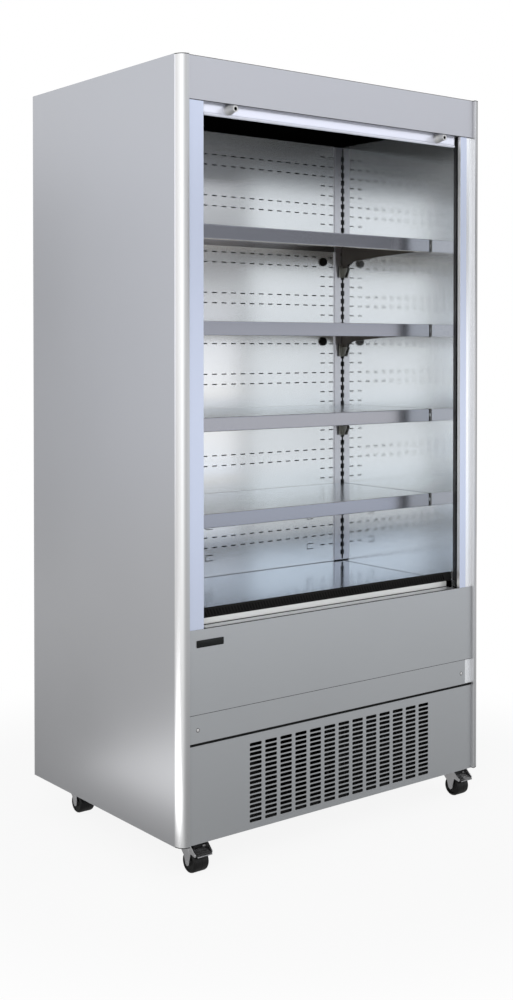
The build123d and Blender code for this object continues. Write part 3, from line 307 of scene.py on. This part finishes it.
def solid(mesh, outline, place, travel):
    """Puts a closed outline in space with place(u, v) and extrudes it along travel, in millimetres."""
    face = mesh.faces.new([mesh.verts.new(place(*point)) for point in outline])
    bottom = list(face.verts)
    made = bmesh.ops.extrude_face_region(mesh, geom=[face])
    top = [item for item in made["geom"] if isinstance(item, bmesh.types.BMVert)]
    bmesh.ops.translate(mesh, verts=top, vec=Vector(travel) / 1000)
    return bottom + top


def soften(mesh, verts, width, segments=2, least=30):
    """Bevels the sharp edges between these vertices, in millimetres."""
    bmesh.ops.recalc_face_normals(mesh, faces=mesh.faces)
    chosen = set(verts)
    edges = [edge for edge in mesh.edges if chosen.issuperset(edge.verts) and edge.is_manifold
             and edge.calc_face_angle() > radians(least)]
    bmesh.ops.bevel(mesh, geom=edges, offset=width / 1000, offset_type="OFFSET", segments=segments,
                    profile=0.5, affect="EDGES", material=-1, clamp_overlap=True)


def turned(mesh, profile, centre, axis, steps=48, closed=False):
    """Spins a profile of (radius, distance along the axis) in millimetres round a line."""
    axis = Vector(axis)
    side = axis.orthogonal().normalized()
    line = [mesh.verts.new(centre + (side * radius + axis * along) / 1000) for radius, along in profile]
    pairs = list(zip(line, line[1:])) + ([(line[-1], line[0])] if closed else [])
    edges = [mesh.edges.new(pair) for pair in pairs]
    bmesh.ops.spin(mesh, geom=line + edges, cent=centre, axis=axis, angle=2 * pi, steps=steps,
                   use_merge=True)


FLAT = 5  # the smoothing angle of bent sheets, which keeps their faces flat up to the bends


def add_piece(name, mesh, finish, body, stands_for=(), smooth=35):
    """Cleans a mesh, makes it an object of this body and takes the place of CAD nodes."""
    bmesh.ops.remove_doubles(mesh, verts=mesh.verts, dist=2e-6)
    bmesh.ops.recalc_face_normals(mesh, faces=mesh.faces)
    data = bpy.data.meshes.new(name)
    mesh.to_mesh(data)
    mesh.free()
    data.shade_smooth()
    data.set_sharp_from_angle(angle=radians(smooth))
    data.materials.append(finish)
    piece = bpy.data.objects.new(name, data)
    scene.collection.objects.link(piece)
    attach(piece, body)
    for node in stands_for:
        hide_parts(node)


zinc = metal("zinc", (0.60, 0.60, 0.61), 0.32, grain=0.1, patches=0.25)
rubber = plastic("wheel_rubber", (0.004, 0.004, 0.004), 0.42, specular=0.3)
pedal_black = plastic("pedal_plastic", (0.012, 0.012, 0.013), 0.4, specular=0.3)
tread_steel = metal("tread_steel", (0.26, 0.26, 0.265), 0.28, metallic=0.8)
CASTOR_X = {"left": -417, "right": 470}
WHEEL_DEPTH = {"front": 58, "rear": 577}
TRAIL = 22  # the wheel's axle stands this far in front of the swivel
WHEEL_RADIUS = 26
PLATE_HALF = 28
TREAD_SLOPE = 0.362
plates = bmesh.new()
for end, wheel_depth in WHEEL_DEPTH.items():
    for hand, x in CASTOR_X.items():
        key = f"{end}_{hand}"
        swivel = wheel_depth + TRAIL
        square = [(PLATE_HALF, PLATE_HALF), (-PLATE_HALF, PLATE_HALF),
                  (-PLATE_HALF, -PLATE_HALF), (PLATE_HALF, -PLATE_HALF)]
        plate = solid(plates, rounded(square, 6), lambda u, v: spot(x + u, swivel + v, BODY_LOW),
                      (0, 0, 3))
        soften(plates, plate, 0.5)
        race = [(26.6, 1), (26.6, -1.5), (25, -5.8), (23.6, -7.6), (19.6, -7.6), (19, -6), (19, -1.2),
                (6, -1.2), (6, -12.5), (9.5, -12.6), (9.5, -14), (7.5, -15), (0, -15)]
        turned(plates, race, spot(x, swivel, BODY_LOW), (0, 0, 1))

        fork = bmesh.new()
        crown = [(6.4, 73), (24.6, 73), (25.5, 73.8), (25.5, 75.8), (24.8, 76.5), (6.4, 76.5)]
        turned(fork, crown, spot(x, swivel, 0), (0, 0, 1), closed=True)
        braked = end == "front"
        nose = ([(-6, 76.2), (-34, 52), (-32, 46), (-14, 50), (-9, 34)] if braked
                else [(-2, 76.2), (-9, 34)])
        leg = [(TRAIL + 18, 76.2), *nose, (-7, 22), (0, 17), (7, 22), (13, 40), (TRAIL + 18, 66)]
        for side in (-1, 1):
            cheek = solid(fork, rounded(leg, 2.5), lambda u, v: spot(x + side * 23, wheel_depth + u, v),
                          (side * 2.5, 0, 0))
            soften(fork, cheek, 0.6)
            rivet = [(0, 0.4), (3.2, 0.4), (4.2, 0), (4.2, -1.5)]
            turned(fork, rivet, spot(x + side * 25.3, wheel_depth, WHEEL_RADIUS), (side, 0, 0), 24)
        turned(fork, [(3.9, -25), (3.9, 25)], spot(x, wheel_depth, WHEEL_RADIUS), (1, 0, 0), 24)
        add_piece(f"castor_swivel_fork_{key}", fork, zinc, f"castor_{key}",
                  [f"castor_fork_{key}"])

        tyre = bmesh.new()
        half = [(4.1, 22), (8, 22), (9.2, 21), (10, 19.4), (17, 19), (18.4, 20), (19, 21.5),
                (21.4, 21.6), (23.6, 20.8), (25.2, 19), (26, 16), (26, 1.6), (25.4, 0.9)]
        ring = half + [(radius, -along) for radius, along in reversed(half)]
        turned(tyre, ring, spot(x, wheel_depth, WHEEL_RADIUS), (1, 0, 0), 64, closed=True)
        add_piece(f"castor_tyre_{key}", tyre, rubber, f"wheel_{key}",
                  [f"castor_wheel_{key}"])

        if braked:
            pedal = bmesh.new()
            block = [(52, 55.6), (44, 53.2), (43, 55.4), (49, 58.8), (49, 64), (53, 69), (60, 69),
                     (62, 64), (62, 58), (58, 56)]
            arm = solid(pedal, rounded(block, 1.2), lambda u, v: spot(x - 14, u, v), (28, 0, 0))
            soften(pedal, arm, 0.7)
            pin = [(0, -25.2), (2.4, -25.2), (2.4, 25.2), (0, 25.2)]
            turned(pedal, pin, spot(x, 56, 61), (1, 0, 0), 20)
            add_piece(f"castor_brake_pedal_{hand}", pedal, pedal_black, f"brake_{hand}",
                      [f"brake_pedal_{hand}"])
            tread_plate = bmesh.new()
            pad = [(48, 57.0), (21.5, 47.3), (20.3, 45.9), (19.3, 46.2), (20.5, 48.6), (47.6, 58.4)]
            foot = solid(tread_plate, rounded(pad, 0.5), lambda u, v: spot(x - 21, u, v), (42, 0, 0))
            soften(tread_plate, foot, 0.4)
            for rib in range(3):
                depth = 26 + rib * 7
                height = 48.6 + (depth - 20.5) * TREAD_SLOPE
                ridge = [(-0.9, -0.6), (0.9, 0), (0.6, 0.7), (-0.9, 0.1)]
                solid(tread_plate, ridge, lambda u, v: spot(x - 16, depth + u, height + v), (32, 0, 0))
            add_piece(f"castor_brake_tread_{hand}", tread_plate, tread_steel, f"brake_{hand}")
add_piece("castor_top_plates", plates, zinc, "cabinet", ["castor_plates"])


# Side panels: painted steel sheet, 1 mm, with folded edges front and back; the front edge hides behind
# the corner posts. The paint is a silver-grey lacquer with a satin gloss.
def bent(path, sheet):
    """The closed outline of a bent sheet: a path and its parallel on the left."""
    points = [Vector(point) for point in path]
    inner = []
    for index, point in enumerate(points):
        before = (point - points[max(index - 1, 0)]).normalized()
        after = (points[min(index + 1, len(points) - 1)] - point).normalized()
        along = (before + after).normalized()
        inner.append(point + Vector((-along.y, along.x)) * sheet)
    return points + inner[::-1]


BODY_TALL = 1825
side_paint = metal("side_paint", (0.455, 0.46, 0.475), 0.34, metallic=0.8, grain=0.05, patches=0.05,
                   relief=0.015)
for side, hand in ((-1, "left"), (1, "right")):
    panel = bmesh.new()
    fold = rounded([(482, 24.2), (500, 24.2), (500, 693), (482, 693)], 1.6, closed=False)
    solid(panel, bent(fold, 1), lambda u, v: spot(side * u, v, BODY_LOW), (0, 0, BODY_TALL))
    add_piece(f"{hand}_side_skin", panel, side_paint, "cabinet",
              [f"{hand}_side_panel"], FLAT)

# Liners: polished stainless sheet round the inside of the opening; the side walls are near mirrors, and
# a dark strip covers their splayed front edges. The foam between the skins shows nowhere.
foam = plastic("foam", (0.02, 0.02, 0.02), 0.9, relief=0.5, scale=400.0, specular=0.1)
repaint(foam, "foam_insulation")
mirror_steel = metal("liner_steel", (0.90, 0.93, 0.95), 0.06, metallic=0.82, grain=0.02, patches=0.06,
                     drawn=(0.02, 0.02, 1), relief=0.04, spread=0.02)
repaint(mirror_steel, "side_liners")
dark_strip = plastic("dark_strip", (0.035, 0.035, 0.037), 0.45, specular=0.2)
edge_strips = bmesh.new()
for side in (-1, 1):
    cover = [(428.6, 24.9), (439.2, 45.5), (439.7, 45.3), (429.2, 24.7)]
    solid(edge_strips, cover, lambda u, v: spot(side * u, v, 600), (0, 0, 1208))
add_piece("liner_edge_strips", edge_strips, dark_strip, "cabinet")

# The rear duct panel is bright annealed sheet with rows of short slots and round black plugs. A black
# strip behind the slotted uprights beside it is painted shade in their slots, and a black bead seals
# the corner between them and the side liner.
duct_steel = metal("duct_steel", (0.92, 0.94, 0.96), 0.22, metallic=0.8, grain=0.01, patches=0.06,
                   drawn=(1, 1, 0.02), relief=0.0, spread=0.01)
repaint(duct_steel, "rear_duct_panel")
upright_steel = metal("upright_steel", (0.62, 0.62, 0.66), 0.3, grain=0.08, patches=0.05,
                      drawn=(1, 1, 0.02))
repaint(upright_steel, "shelf_uprights")
black = plastic("black_plastic", (0.005, 0.005, 0.005), 0.5, specular=0.12)
plug_mesh = bmesh.new()
SHELF_TOPS = (1539, 1303, 1067, 831)
UPRIGHT_LOW, UPRIGHT_TALL = 602, 1232
PLUG_X, PLUG_DEPTH, PLUG_DROP = 365.2, 506.3, 47
for side in (-1, 1):
    # Painted shade: a black strip behind each upright darkens its slots.
    slot_shade_strip = [(414, 506.6), (435, 506.6), (435, 506.9), (414, 506.9)]
    joint = [(437.4, 500.9), (439.4, 500.9), (439.4, 501.4), (437.4, 501.4)]
    for seal in (slot_shade_strip, joint):
        solid(plug_mesh, seal, lambda u, v: spot(side * u, v, UPRIGHT_LOW), (0, 0, UPRIGHT_TALL))
    for top in SHELF_TOPS:
        cap = [(0, 8), (9.5, 7.8), (11.6, 7), (12.5, 5.4), (12.5, 0.2), (7.6, 0.1), (7.6, -4)]
        turned(plug_mesh, cap, spot(side * PLUG_X, PLUG_DEPTH, top - PLUG_DROP), (0, -1, 0), 32)
add_piece("rear_panel_caps", plug_mesh, black, "cabinet", ["rear_panel_plugs"])

# Ceiling, well and rear liner are black coated sheet. The air-curtain honeycomb over the opening and
# the breaker strips are black mouldings; a black sheet behind the return-air grille is painted shade in
# its slots.
black_sheet = plastic("black_sheet", (0.0015, 0.0015, 0.0015), 0.5, relief=0.03, scale=700.0,
                      specular=0.0)
repaint(black_sheet, "ceiling_panel", "well_liner", "rear_liner")
repaint(black, "air_curtain_honeycomb", "breaker_strips")
grille_black = plastic("grille_black", (0.02, 0.02, 0.02), 0.6, specular=0.0)
repaint(grille_black, "return_air_grille")
# Painted shade: a black sheet behind the grille's slots.
grille_shade_sheet = bmesh.new()
grille_shade_area = [(-435, 600), (435, 600), (435, 621), (-435, 621)]
solid(grille_shade_sheet, grille_shade_area, lambda u, v: spot(u, 57.3, v), (0, 0.5, 0))
add_piece("return_air_grille_shade", grille_shade_sheet, grille_black, "cabinet")


# Corner posts: anodised aluminium extrusions, a quarter round outside and a thin flange inside, with
# a fine groove in the flange. Black moulded caps close both ends.
def quarter_round(side, steps=24):
    """The post's outline in plan: a flat front strip that turns through a quarter circle."""
    radius = 24
    arc = [(476 + radius * sin(pi / 2 * step / steps), radius - radius * cos(pi / 2 * step / steps))
           for step in range(steps + 1)]
    corners = [(474, 0.4), (474.4, 0), *arc, (474, radius)]
    return [(side * u, v) for u, v in corners]


POST_LOW, POST_TALL = 87, 1821
CAP_THICK = 1.95
# Painted shade: faces that look sideways take a darker grey and faces that look forwards a darker one
# still.
post_aluminium = metal("post_aluminium", (0.93, 0.935, 0.94), 0.28, metallic=0.85, grain=0.02,
                       patches=0.02, drawn=(1, 1, 0.01), relief=0.003, spread=0.04,
                       sides=(0.76, 0.76, 0.77), front=(0.50, 0.505, 0.515))
# Painted light: the flanges take their own lighter finish instead of the post's shaded front.
lit_flange_aluminium = metal("lit_flange_aluminium", (0.90, 0.92, 0.95), 0.25, metallic=0.7, grain=0.02,
                         patches=0.02, drawn=(1, 1, 0.01), relief=0.003, spread=0.04)
posts = bmesh.new()
webs = bmesh.new()
caps = bmesh.new()
for side in (-1, 1):
    solid(posts, quarter_round(side), lambda u, v: spot(u, v, POST_LOW), (0, 0, POST_TALL))
    flange = [(474.4, 10), (463, 10), (462.9, 10.5), (462.1, 10.5), (462, 10), (450.5, 10), (450, 10.5),
              (450, 11.5), (474.4, 11.5)]
    solid(webs, flange, lambda u, v: spot(side * u, v, POST_LOW), (0, 0, POST_TALL))
    for low in (BODY_LOW, 1908.02):
        cap = solid(caps, quarter_round(side, steps=16), lambda u, v: spot(u, v, low),
                    (0, 0, CAP_THICK))
        soften(caps, cap, 0.5, least=50)
add_piece("corner_post_extrusions", posts, post_aluminium, "cabinet",
          ["corner_posts"])
add_piece("corner_post_flanges", webs, lit_flange_aluminium, "cabinet")
add_piece("corner_post_caps", caps, black, "cabinet", ["post_end_caps"])

# Front panels: header, lower panel and strip cover are 1 mm painted sheet with folded edges, hung in
# front of the post flanges over the slotted grille panel. Thin black strips along the joints between
# the panels are painted shade in the gaps, and black rings round the two cover screws are painted
# shadow.
# Painted light: faces that look up take a much lighter colour.
front_paint = metal("front_paint", (0.455, 0.47, 0.485), 0.36, metallic=0.8, grain=0.04, patches=0.04,
                    drawn=(0.02, 1, 1), relief=0.01, top=(0.75, 0.77, 0.79))
# Painted light: the header takes a lighter, bluer copy of the front paint.
lit_header_paint = metal("lit_header_paint", (0.51, 0.52, 0.56), 0.42, metallic=0.75, grain=0.04, patches=0.04,
                     drawn=(0.02, 1, 1), relief=0.01)
PANEL_EDGE = 473.7  # half the width between the posts
PANEL_DEPTH = 8


def front_panel(name, x, z, folds, stands_for, finish=front_paint):
    """A face sheet with returns; each fold is its underside, its reach backwards and its half width."""
    mesh = bmesh.new()
    (left, right), (bottom, top) = x, z
    sheet = [(left, bottom), (right, bottom), (right, top), (left, top)]
    face = solid(mesh, sheet, lambda u, v: spot(u, PANEL_DEPTH, v), (0, 1, 0))
    soften(mesh, face, 0.45)
    for height, reach, half in folds:
        lip = [(max(left, -half), height), (min(right, half), height), (min(right, half), height + 1),
               (max(left, -half), height + 1)]
        solid(mesh, lip, lambda u, v: spot(u, 8.6, v), (0, reach - 0.6, 0))
    add_piece(name, mesh, finish, "cabinet", stands_for, FLAT)


front_panel("header_skin", (-PANEL_EDGE, PANEL_EDGE), (1809, 1908.8),
            [(1809.1, 11, 449), (1907.7, 17.2, PANEL_EDGE)], ["header_panel"], lit_header_paint)
front_panel("lower_skin", (-PANEL_EDGE, PANEL_EDGE), (386.3, 584),
            [(386.4, 12, 449), (582.9, 39.4, 417)], ["lower_front_panel"])
front_panel("strip_skin", (-PANEL_EDGE, 448.5), (320, 386), [(320.1, 8, 473)], ["strip_cover"])
repaint(front_paint, "grille_panel")
# Painted shade: black strips fill the gaps above, between and below the front panels.
gap_shades = bmesh.new()
GAP_SHADES = ((473.4, 8.3, 1908.9, 1.0), (473.4, 7.9, 1807.7, 1.2), (427, 9.1, 583.9, 1.4),
         (417, 46.4, 583.9, 1.3), (473.4, 7.9, 385.6, 0.8), (473.4, 8.4, 314.3, 5.6))
for half, depth, height, thick in GAP_SHADES:
    solid(gap_shades, [(-half, 0), (half, 0), (half, thick), (-half, thick)],
          lambda u, v: spot(u, depth, height + v), (0, 1.5, 0))
SCREW_PLACES = ((-446, 350.5), (433.6, 350))
# Painted shadow: a black ring round each cover screw.
for x, height in SCREW_PLACES:
    screw_shadow_ring = [(3.9, 0.15), (5.0, 0.15), (5.0, -0.4), (3.9, -0.4)]
    turned(gap_shades, screw_shadow_ring, spot(x, PANEL_DEPTH, height), (0, -1, 0), 24, closed=True)
add_piece("panel_gap_shades", gap_shades, black, "cabinet")

# Two pan-head screws with round recesses hold the strip cover; a bare enamelled plate with rounded
# corners is stuck to the lower panel.
knob_metal = metal("knob_metal", (0.60, 0.60, 0.60), 0.38, metallic=0.6, grain=0.04, patches=0.04)
screw_mesh = bmesh.new()
for x, height in SCREW_PLACES:
    head = [(0, 0.9), (0.5, 1.1), (0.8, 1.7), (2.2, 1.5), (3.4, 0.9), (4, 0.2), (4, 0), (2, 0),
            (2, -8.5), (0, -9)]
    turned(screw_mesh, head, spot(x, PANEL_DEPTH, height), (0, -1, 0), 24)
add_piece("cover_screw_heads", screw_mesh, knob_metal, "cabinet", ["cover_screws"])
enamel = plastic("plate_metal", (0.005, 0.006, 0.006), 0.25, relief=0.02, specular=0.25)
plate_mesh = bmesh.new()
outline = rounded([(-39, -8.5), (39, -8.5), (39, 8.5), (-39, 8.5)], 2.5, steps=6)
PLATE_X, PLATE_Z = -411, 550.5
badge = solid(plate_mesh, outline, lambda u, v: spot(PLATE_X + u, 6.8, PLATE_Z + v), (0, 1.15, 0))
soften(plate_mesh, badge, 0.35)
add_piece("name_plate_blank", plate_mesh, enamel, "cabinet", ["name_plate"])

# Frame strips: thin satin sheet, folded back at the opening; the left one reaches out over the post's
# flange. The sill is a pale painted riser under the black return-air grille.
# Painted reflection and highlight: the strips' blue tint and their white sideways faces.
strip_metal = metal("strip_metal", (0.60, 0.655, 0.80), 0.34, metallic=0.7, grain=0.03, patches=0.03,
                    drawn=(1, 1, 0.01), relief=0.008, sides=(1.0, 1.0, 1.0))
strips = bmesh.new()
STRIP_LOW, STRIP_TALL = 584.3, 1224.4
for side, outer in ((-1, 473.6), (1, 451)):
    bend = rounded([(outer, 9), (428, 9), (428, 19)], 0.9, closed=False)
    solid(strips, bent(bend, -0.9), lambda u, v: spot(side * u, v, STRIP_LOW), (0, 0, STRIP_TALL))
add_piece("opening_frame_strips", strips, strip_metal, "cabinet",
          ["frame_strips"], FLAT)
sill_metal = metal("sill_metal", (0.80, 0.805, 0.79), 0.4, metallic=0.45, drawn=(0.02, 1, 1))
repaint(sill_metal, "front_sill")

# Night blind: a metallised film wound on a roller in the roof, weighted by an anodised pull bar with
# two hollow turned knobs. The film spans from the roller down to the bar.
blind_metal = metal("blind_aluminium", (0.82, 0.84, 0.94), 0.25, metallic=0.7, grain=0.04, patches=0.03,
                    drawn=(0.01, 1, 1), relief=0.008)
bar = bmesh.new()
section = [(28, 1824), (22.5, 1824), (21.9, 1823.2), (23.4, 1822), (23.5, 1786), (22.4, 1784.6),
           (21.8, 1782.4), (22.0, 1780.2), (23.2, 1779.1), (26.5, 1779.1), (27.9, 1780.6), (28, 1783)]
solid(bar, section, lambda u, v: spot(-418, u, v), (836, 0, 0))
add_piece("blind_grip_bar", bar, blind_metal, "blind_bar", ["blind_pull_bar"], FLAT)
KNOB_X, KNOB_Z = 348, 1796
knobs = bmesh.new()
bore_shades = bmesh.new()
for side in (-1, 1):
    profile = [(12, -23.4), (12.1, -21.8), (11.4, -12.2), (10.6, -11.2), (8.6, -4), (8.2, -2.6),
               (8.0, 6.6), (7.7, 8.1), (7.1, 8.5), (5, 8.5), (4.4, 7.9), (4.4, -5.5), (0, -5.6)]
    turned(knobs, profile, spot(side * KNOB_X, 0, KNOB_Z), (0, -1, 0), 40)
    # Painted shade: a black plug fills each knob's hollow.
    bore_shade = [(0, 7.4), (4.1, 7.4), (4.35, 6.6), (4.35, -5), (0, -5)]
    turned(bore_shades, bore_shade, spot(side * KNOB_X, 0, KNOB_Z), (0, -1, 0), 32)
add_piece("blind_grip_knobs", knobs, knob_metal, "blind_bar", ["blind_knobs"])
add_piece("blind_knob_bore_shades", bore_shades, black_sheet, "blind_bar")

film_finish, weave = new_finish("blind_film")
place = weave.node("ShaderNodeTexCoord", output="Object")
split = weave.node("ShaderNodeSeparateXYZ", {}, {"Vector": place})
threads = weave.maths("SINE", split * 2600.0)
cloud = weave.node("ShaderNodeTexNoise", {}, {"Vector": place, "Scale": 6.0, "Detail": 2.0})
silver = weave.node("ShaderNodeVectorMath", {"operation": "SCALE"},
                    {0: (0.62, 0.64, 0.66), "Scale": threads * 0.05 + cloud * 0.2 + 0.85})
ribs = weave.node("ShaderNodeBump", {}, {"Height": threads, "Strength": 0.2, "Distance": 0.0003})
foil = weave.node("ShaderNodeBsdfPrincipled", {}, {
    "Base Color": silver, "Metallic": 0.6, "Roughness": cloud * 0.1 + 0.3, "Normal": ribs})
weave.node("ShaderNodeOutputMaterial", {}, {"Surface": foil})
film = bmesh.new()
FILM_TOP, FILM_LOW = 1852, 1824  # the roller's axis and the bar's back edge
FILM_HALF = 416
FILM_DEPTH = 24.8
edge = [(24.4, FILM_LOW), (25.2, FILM_LOW), (25.2, FILM_TOP), (24.4, FILM_TOP)]
solid(film, edge, lambda u, v: spot(-FILM_HALF, u, v), (2 * FILM_HALF, 0, 0))
LEVELS = 14  # bands that the film is cut into
for step in range(1, LEVELS):
    height = (FILM_LOW + (FILM_TOP - FILM_LOW) * step / LEVELS) / 1000
    bmesh.ops.bisect_plane(film, geom=film.verts[:] + film.edges[:] + film.faces[:],
                           plane_co=(0, 0, height), plane_no=(0, 0, 1))
bmesh.ops.recalc_face_normals(film, faces=film.faces)
film_data = bpy.data.meshes.new("blind_sheet")
film.to_mesh(film_data)
film.free()
film_data.materials.append(film_finish)
blind_sheet = bpy.data.objects.new("blind_sheet", film_data)
scene.collection.objects.link(blind_sheet)
tuple(spot(0, FILM_DEPTH, FILM_TOP))
tuple(spot(0, FILM_DEPTH, FILM_LOW))
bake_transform(blind_sheet)
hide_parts("blind_film")

roll = bmesh.new()
ROLL_HALF, ROLL_DEPTH = 422, 47
ROLL_STEPS = 72
turns = [(21.5 - 0.5 * step / ROLL_STEPS, 2 * pi * step / ROLL_STEPS) for step in range(ROLL_STEPS)]
solid(roll, [(radius * cos(turn), radius * sin(turn)) for radius, turn in turns],
      lambda u, v: spot(-ROLL_HALF, ROLL_DEPTH + u, FILM_TOP + v), (2 * ROLL_HALF, 0, 0))
for side in (-1, 1):
    hub = [(18, 421), (18, 423.6), (17, 424.4), (6, 424.4), (4.1, 423.6), (4.1, 412.5), (0, 412.5)]
    turned(roll, hub, spot(0, ROLL_DEPTH, FILM_TOP), (side, 0, 0), 32)
add_piece("blind_wound_roll", roll, film_finish, "blind_roller", ["blind_roller"])

# Shelving: steel brackets hook into the slotted uprights and carry the lift-off shelves; their arms are
# painted near-black brown as painted shade, and plated plates on their lobes are painted light. Shelves
# and deck are satin stainless sheet; the shelves have a turned-down front rail whose black notched ends
# are painted shade in the gap against the liner.
# Painted reflection and shade: tops are bluish white and undersides brown.
shelf_steel = metal("shelf_steel", (0.33, 0.34, 0.38), 0.22, grain=0.015, patches=0.04,
                    drawn=(0.02, 1, 1), relief=0.0015, spread=0.03, top=(0.90, 0.96, 1.0),
                    underside=(0.22, 0.15, 0.06))
# Painted shade: the bracket arms' near-black brown.
shaded_bracket_steel = metal("shaded_bracket_steel", (0.10, 0.09, 0.08), 0.36, metallic=0.6, grain=0.1, patches=0.1)
lit_bracket_zinc = metal("lit_bracket_zinc", (0.36, 0.36, 0.34), 0.4, patches=0.1)
arms = bmesh.new()
ARM_X, ARM_THICK = 434.8, 2.4
ARM = [(501.2, 1.3), (149, 1.3), (149, 17), (153, 20), (200, 32), (340, 37), (455, 46), (475, 56),
       (486, 91), (501.2, 91)]
for side in (-1, 1):
    for top in SHELF_TOPS:
        arm = solid(arms, rounded(ARM, 3, steps=3), lambda u, v: spot(side * ARM_X, u, top - v),
                    (side * ARM_THICK, 0, 0))
        soften(arms, arm, 0.4, 1, 40)
        for drop in (20, 67.2):
            hook = [(500.5, drop - 3), (506, drop - 3), (506, drop + 14), (503.3, drop + 14),
                    (503.3, drop + 6.8), (500.5, drop + 6.8)]
            solid(arms, rounded(hook, 0.6, steps=2), lambda u, v: spot(side * ARM_X, u, top - v),
                  (side * ARM_THICK, 0, 0))
add_piece("shelf_bracket_arms", arms, shaded_bracket_steel, "cabinet", ["shelf_brackets"])
# Painted light: pale plated plates and rivets on the brackets' lower lobes.
lit_lobe_plates = bmesh.new()
for side in (-1, 1):
    for top in SHELF_TOPS:
        plate = rounded([(422, 92), (436.8, 92), (436.8, 56), (422, 56)], 3)
        flange = solid(lit_lobe_plates, plate, lambda u, v: spot(side * u, 496.5, top - v), (0, 1.5, 0))
        soften(lit_lobe_plates, flange, 0.4, 1, 40)
        lit_hook_plate = rounded([(473, 64), (500.6, 64), (500.6, 91), (486, 91)], 3)
        solid(lit_lobe_plates, lit_hook_plate, lambda u, v: spot(side * 434.5, u, top - v), (side * 0.4, 0, 0))
        rivet = [(0, 1.2), (1.8, 0.9), (2.4, 0), (2.4, -0.8)]
        for drop in (66, 82):
            turned(lit_lobe_plates, rivet, spot(side * 429, 496.6, top - drop), (0, -1, 0), 12)
add_piece("shelf_bracket_lit_plates", lit_lobe_plates, lit_bracket_zinc, "cabinet")
NOTCH_X, NOTCH_DEPTH = 409, 501  # the shelves' rear corners are cut out round the uprights
SHELF_HALF, SHEET = 437, 1.2
for number, top in enumerate(SHELF_TOPS, 1):
    shelf = bmesh.new()
    rail = [(133, top), (133, top - 35), (146, top - 35)]
    middle = bent(rounded([(505.5, top - 16), (505.5, top), *rail], 1.8, closed=False), SHEET)
    solid(shelf, middle, lambda u, v: spot(-NOTCH_X, u, v), (2 * NOTCH_X, 0, 0))
    wing = bent(rounded([(NOTCH_DEPTH, top), *rail], 1.8, closed=False), SHEET)
    for side in (-1, 1):
        solid(shelf, wing, lambda u, v: spot(side * NOTCH_X, u, v),
              (side * (SHELF_HALF - NOTCH_X), 0, 0))
    add_piece(f"shelf_{number}_tray", shelf, shelf_steel, f"shelf_{number}",
              [f"shelf_{number}"], FLAT)
    # Painted shade: black notched ends stand for the shaded gap between rail and liner.
    notch_shades = bmesh.new()
    end = [(132.7, top - 35.3), (144, top - 35.3), (135.5, top - 17), (144, top + 0.1),
           (132.7, top + 0.1)]
    for side in (-1, 1):
        solid(notch_shades, rounded(end, 1), lambda u, v: spot(side * 434.6, u, v), (side * 2.4, 0, 0))
    add_piece(f"shelf_{number}_rail_notch_shades", notch_shades, black, f"shelf_{number}")
# Painted reflection: the deck's blue tint.
deck_steel_painted_blue = metal("deck_steel_painted_blue", (0.56, 0.68, 0.84), 0.13, grain=0.02, patches=0.08, drawn=(0.02, 1, 1),
                   relief=0.006, spread=0.05)
repaint(deck_steel_painted_blue, "deck_panel")

# Machine compartment: a base frame carries the black compressor, the condenser with its fan and shroud,
# the pipes, the melt water tray, the electrical box and the mains inlet. Frame, condenser, fan, shroud,
# pipes, tray and box are painted black or near black as painted shade; it shows only through the slots
# and the rear outlet.
# Painted shade: the base frame, condenser fan, shroud and melt water tray take the black finish, so the
# slots show dark.
repaint(black, "base_frame", "condenser_fan_shroud", "condenser_fan", "evaporator_fan_left",
        "evaporator_fan_right", "power_inlet", "condensate_tray")
compressor_black = plastic("compressor_black", (0.008, 0.008, 0.008), 0.3, relief=0.15, scale=300.0,
                           specular=0.3)
repaint(compressor_black, "compressor")
pipe_shade_black = plastic("pipe_painted_shade", (0.010, 0.010, 0.010), 0.8, relief=0.3, scale=500.0,
                     specular=0.1)
repaint(pipe_shade_black, "refrigerant_pipes")
condenser_shade_black = metal("condenser_shade_black", (0.02, 0.02, 0.02), 0.5, metallic=0.2)
repaint(condenser_shade_black, "condenser_coil")
fin_metal = metal("fin_aluminium", (0.5, 0.52, 0.53), 0.35)
repaint(fin_metal, "evaporator_coil")
grey_plastic = plastic("grey_plastic", (0.05, 0.05, 0.052), 0.5)
repaint(grey_plastic, "electrical_box")

low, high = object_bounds()
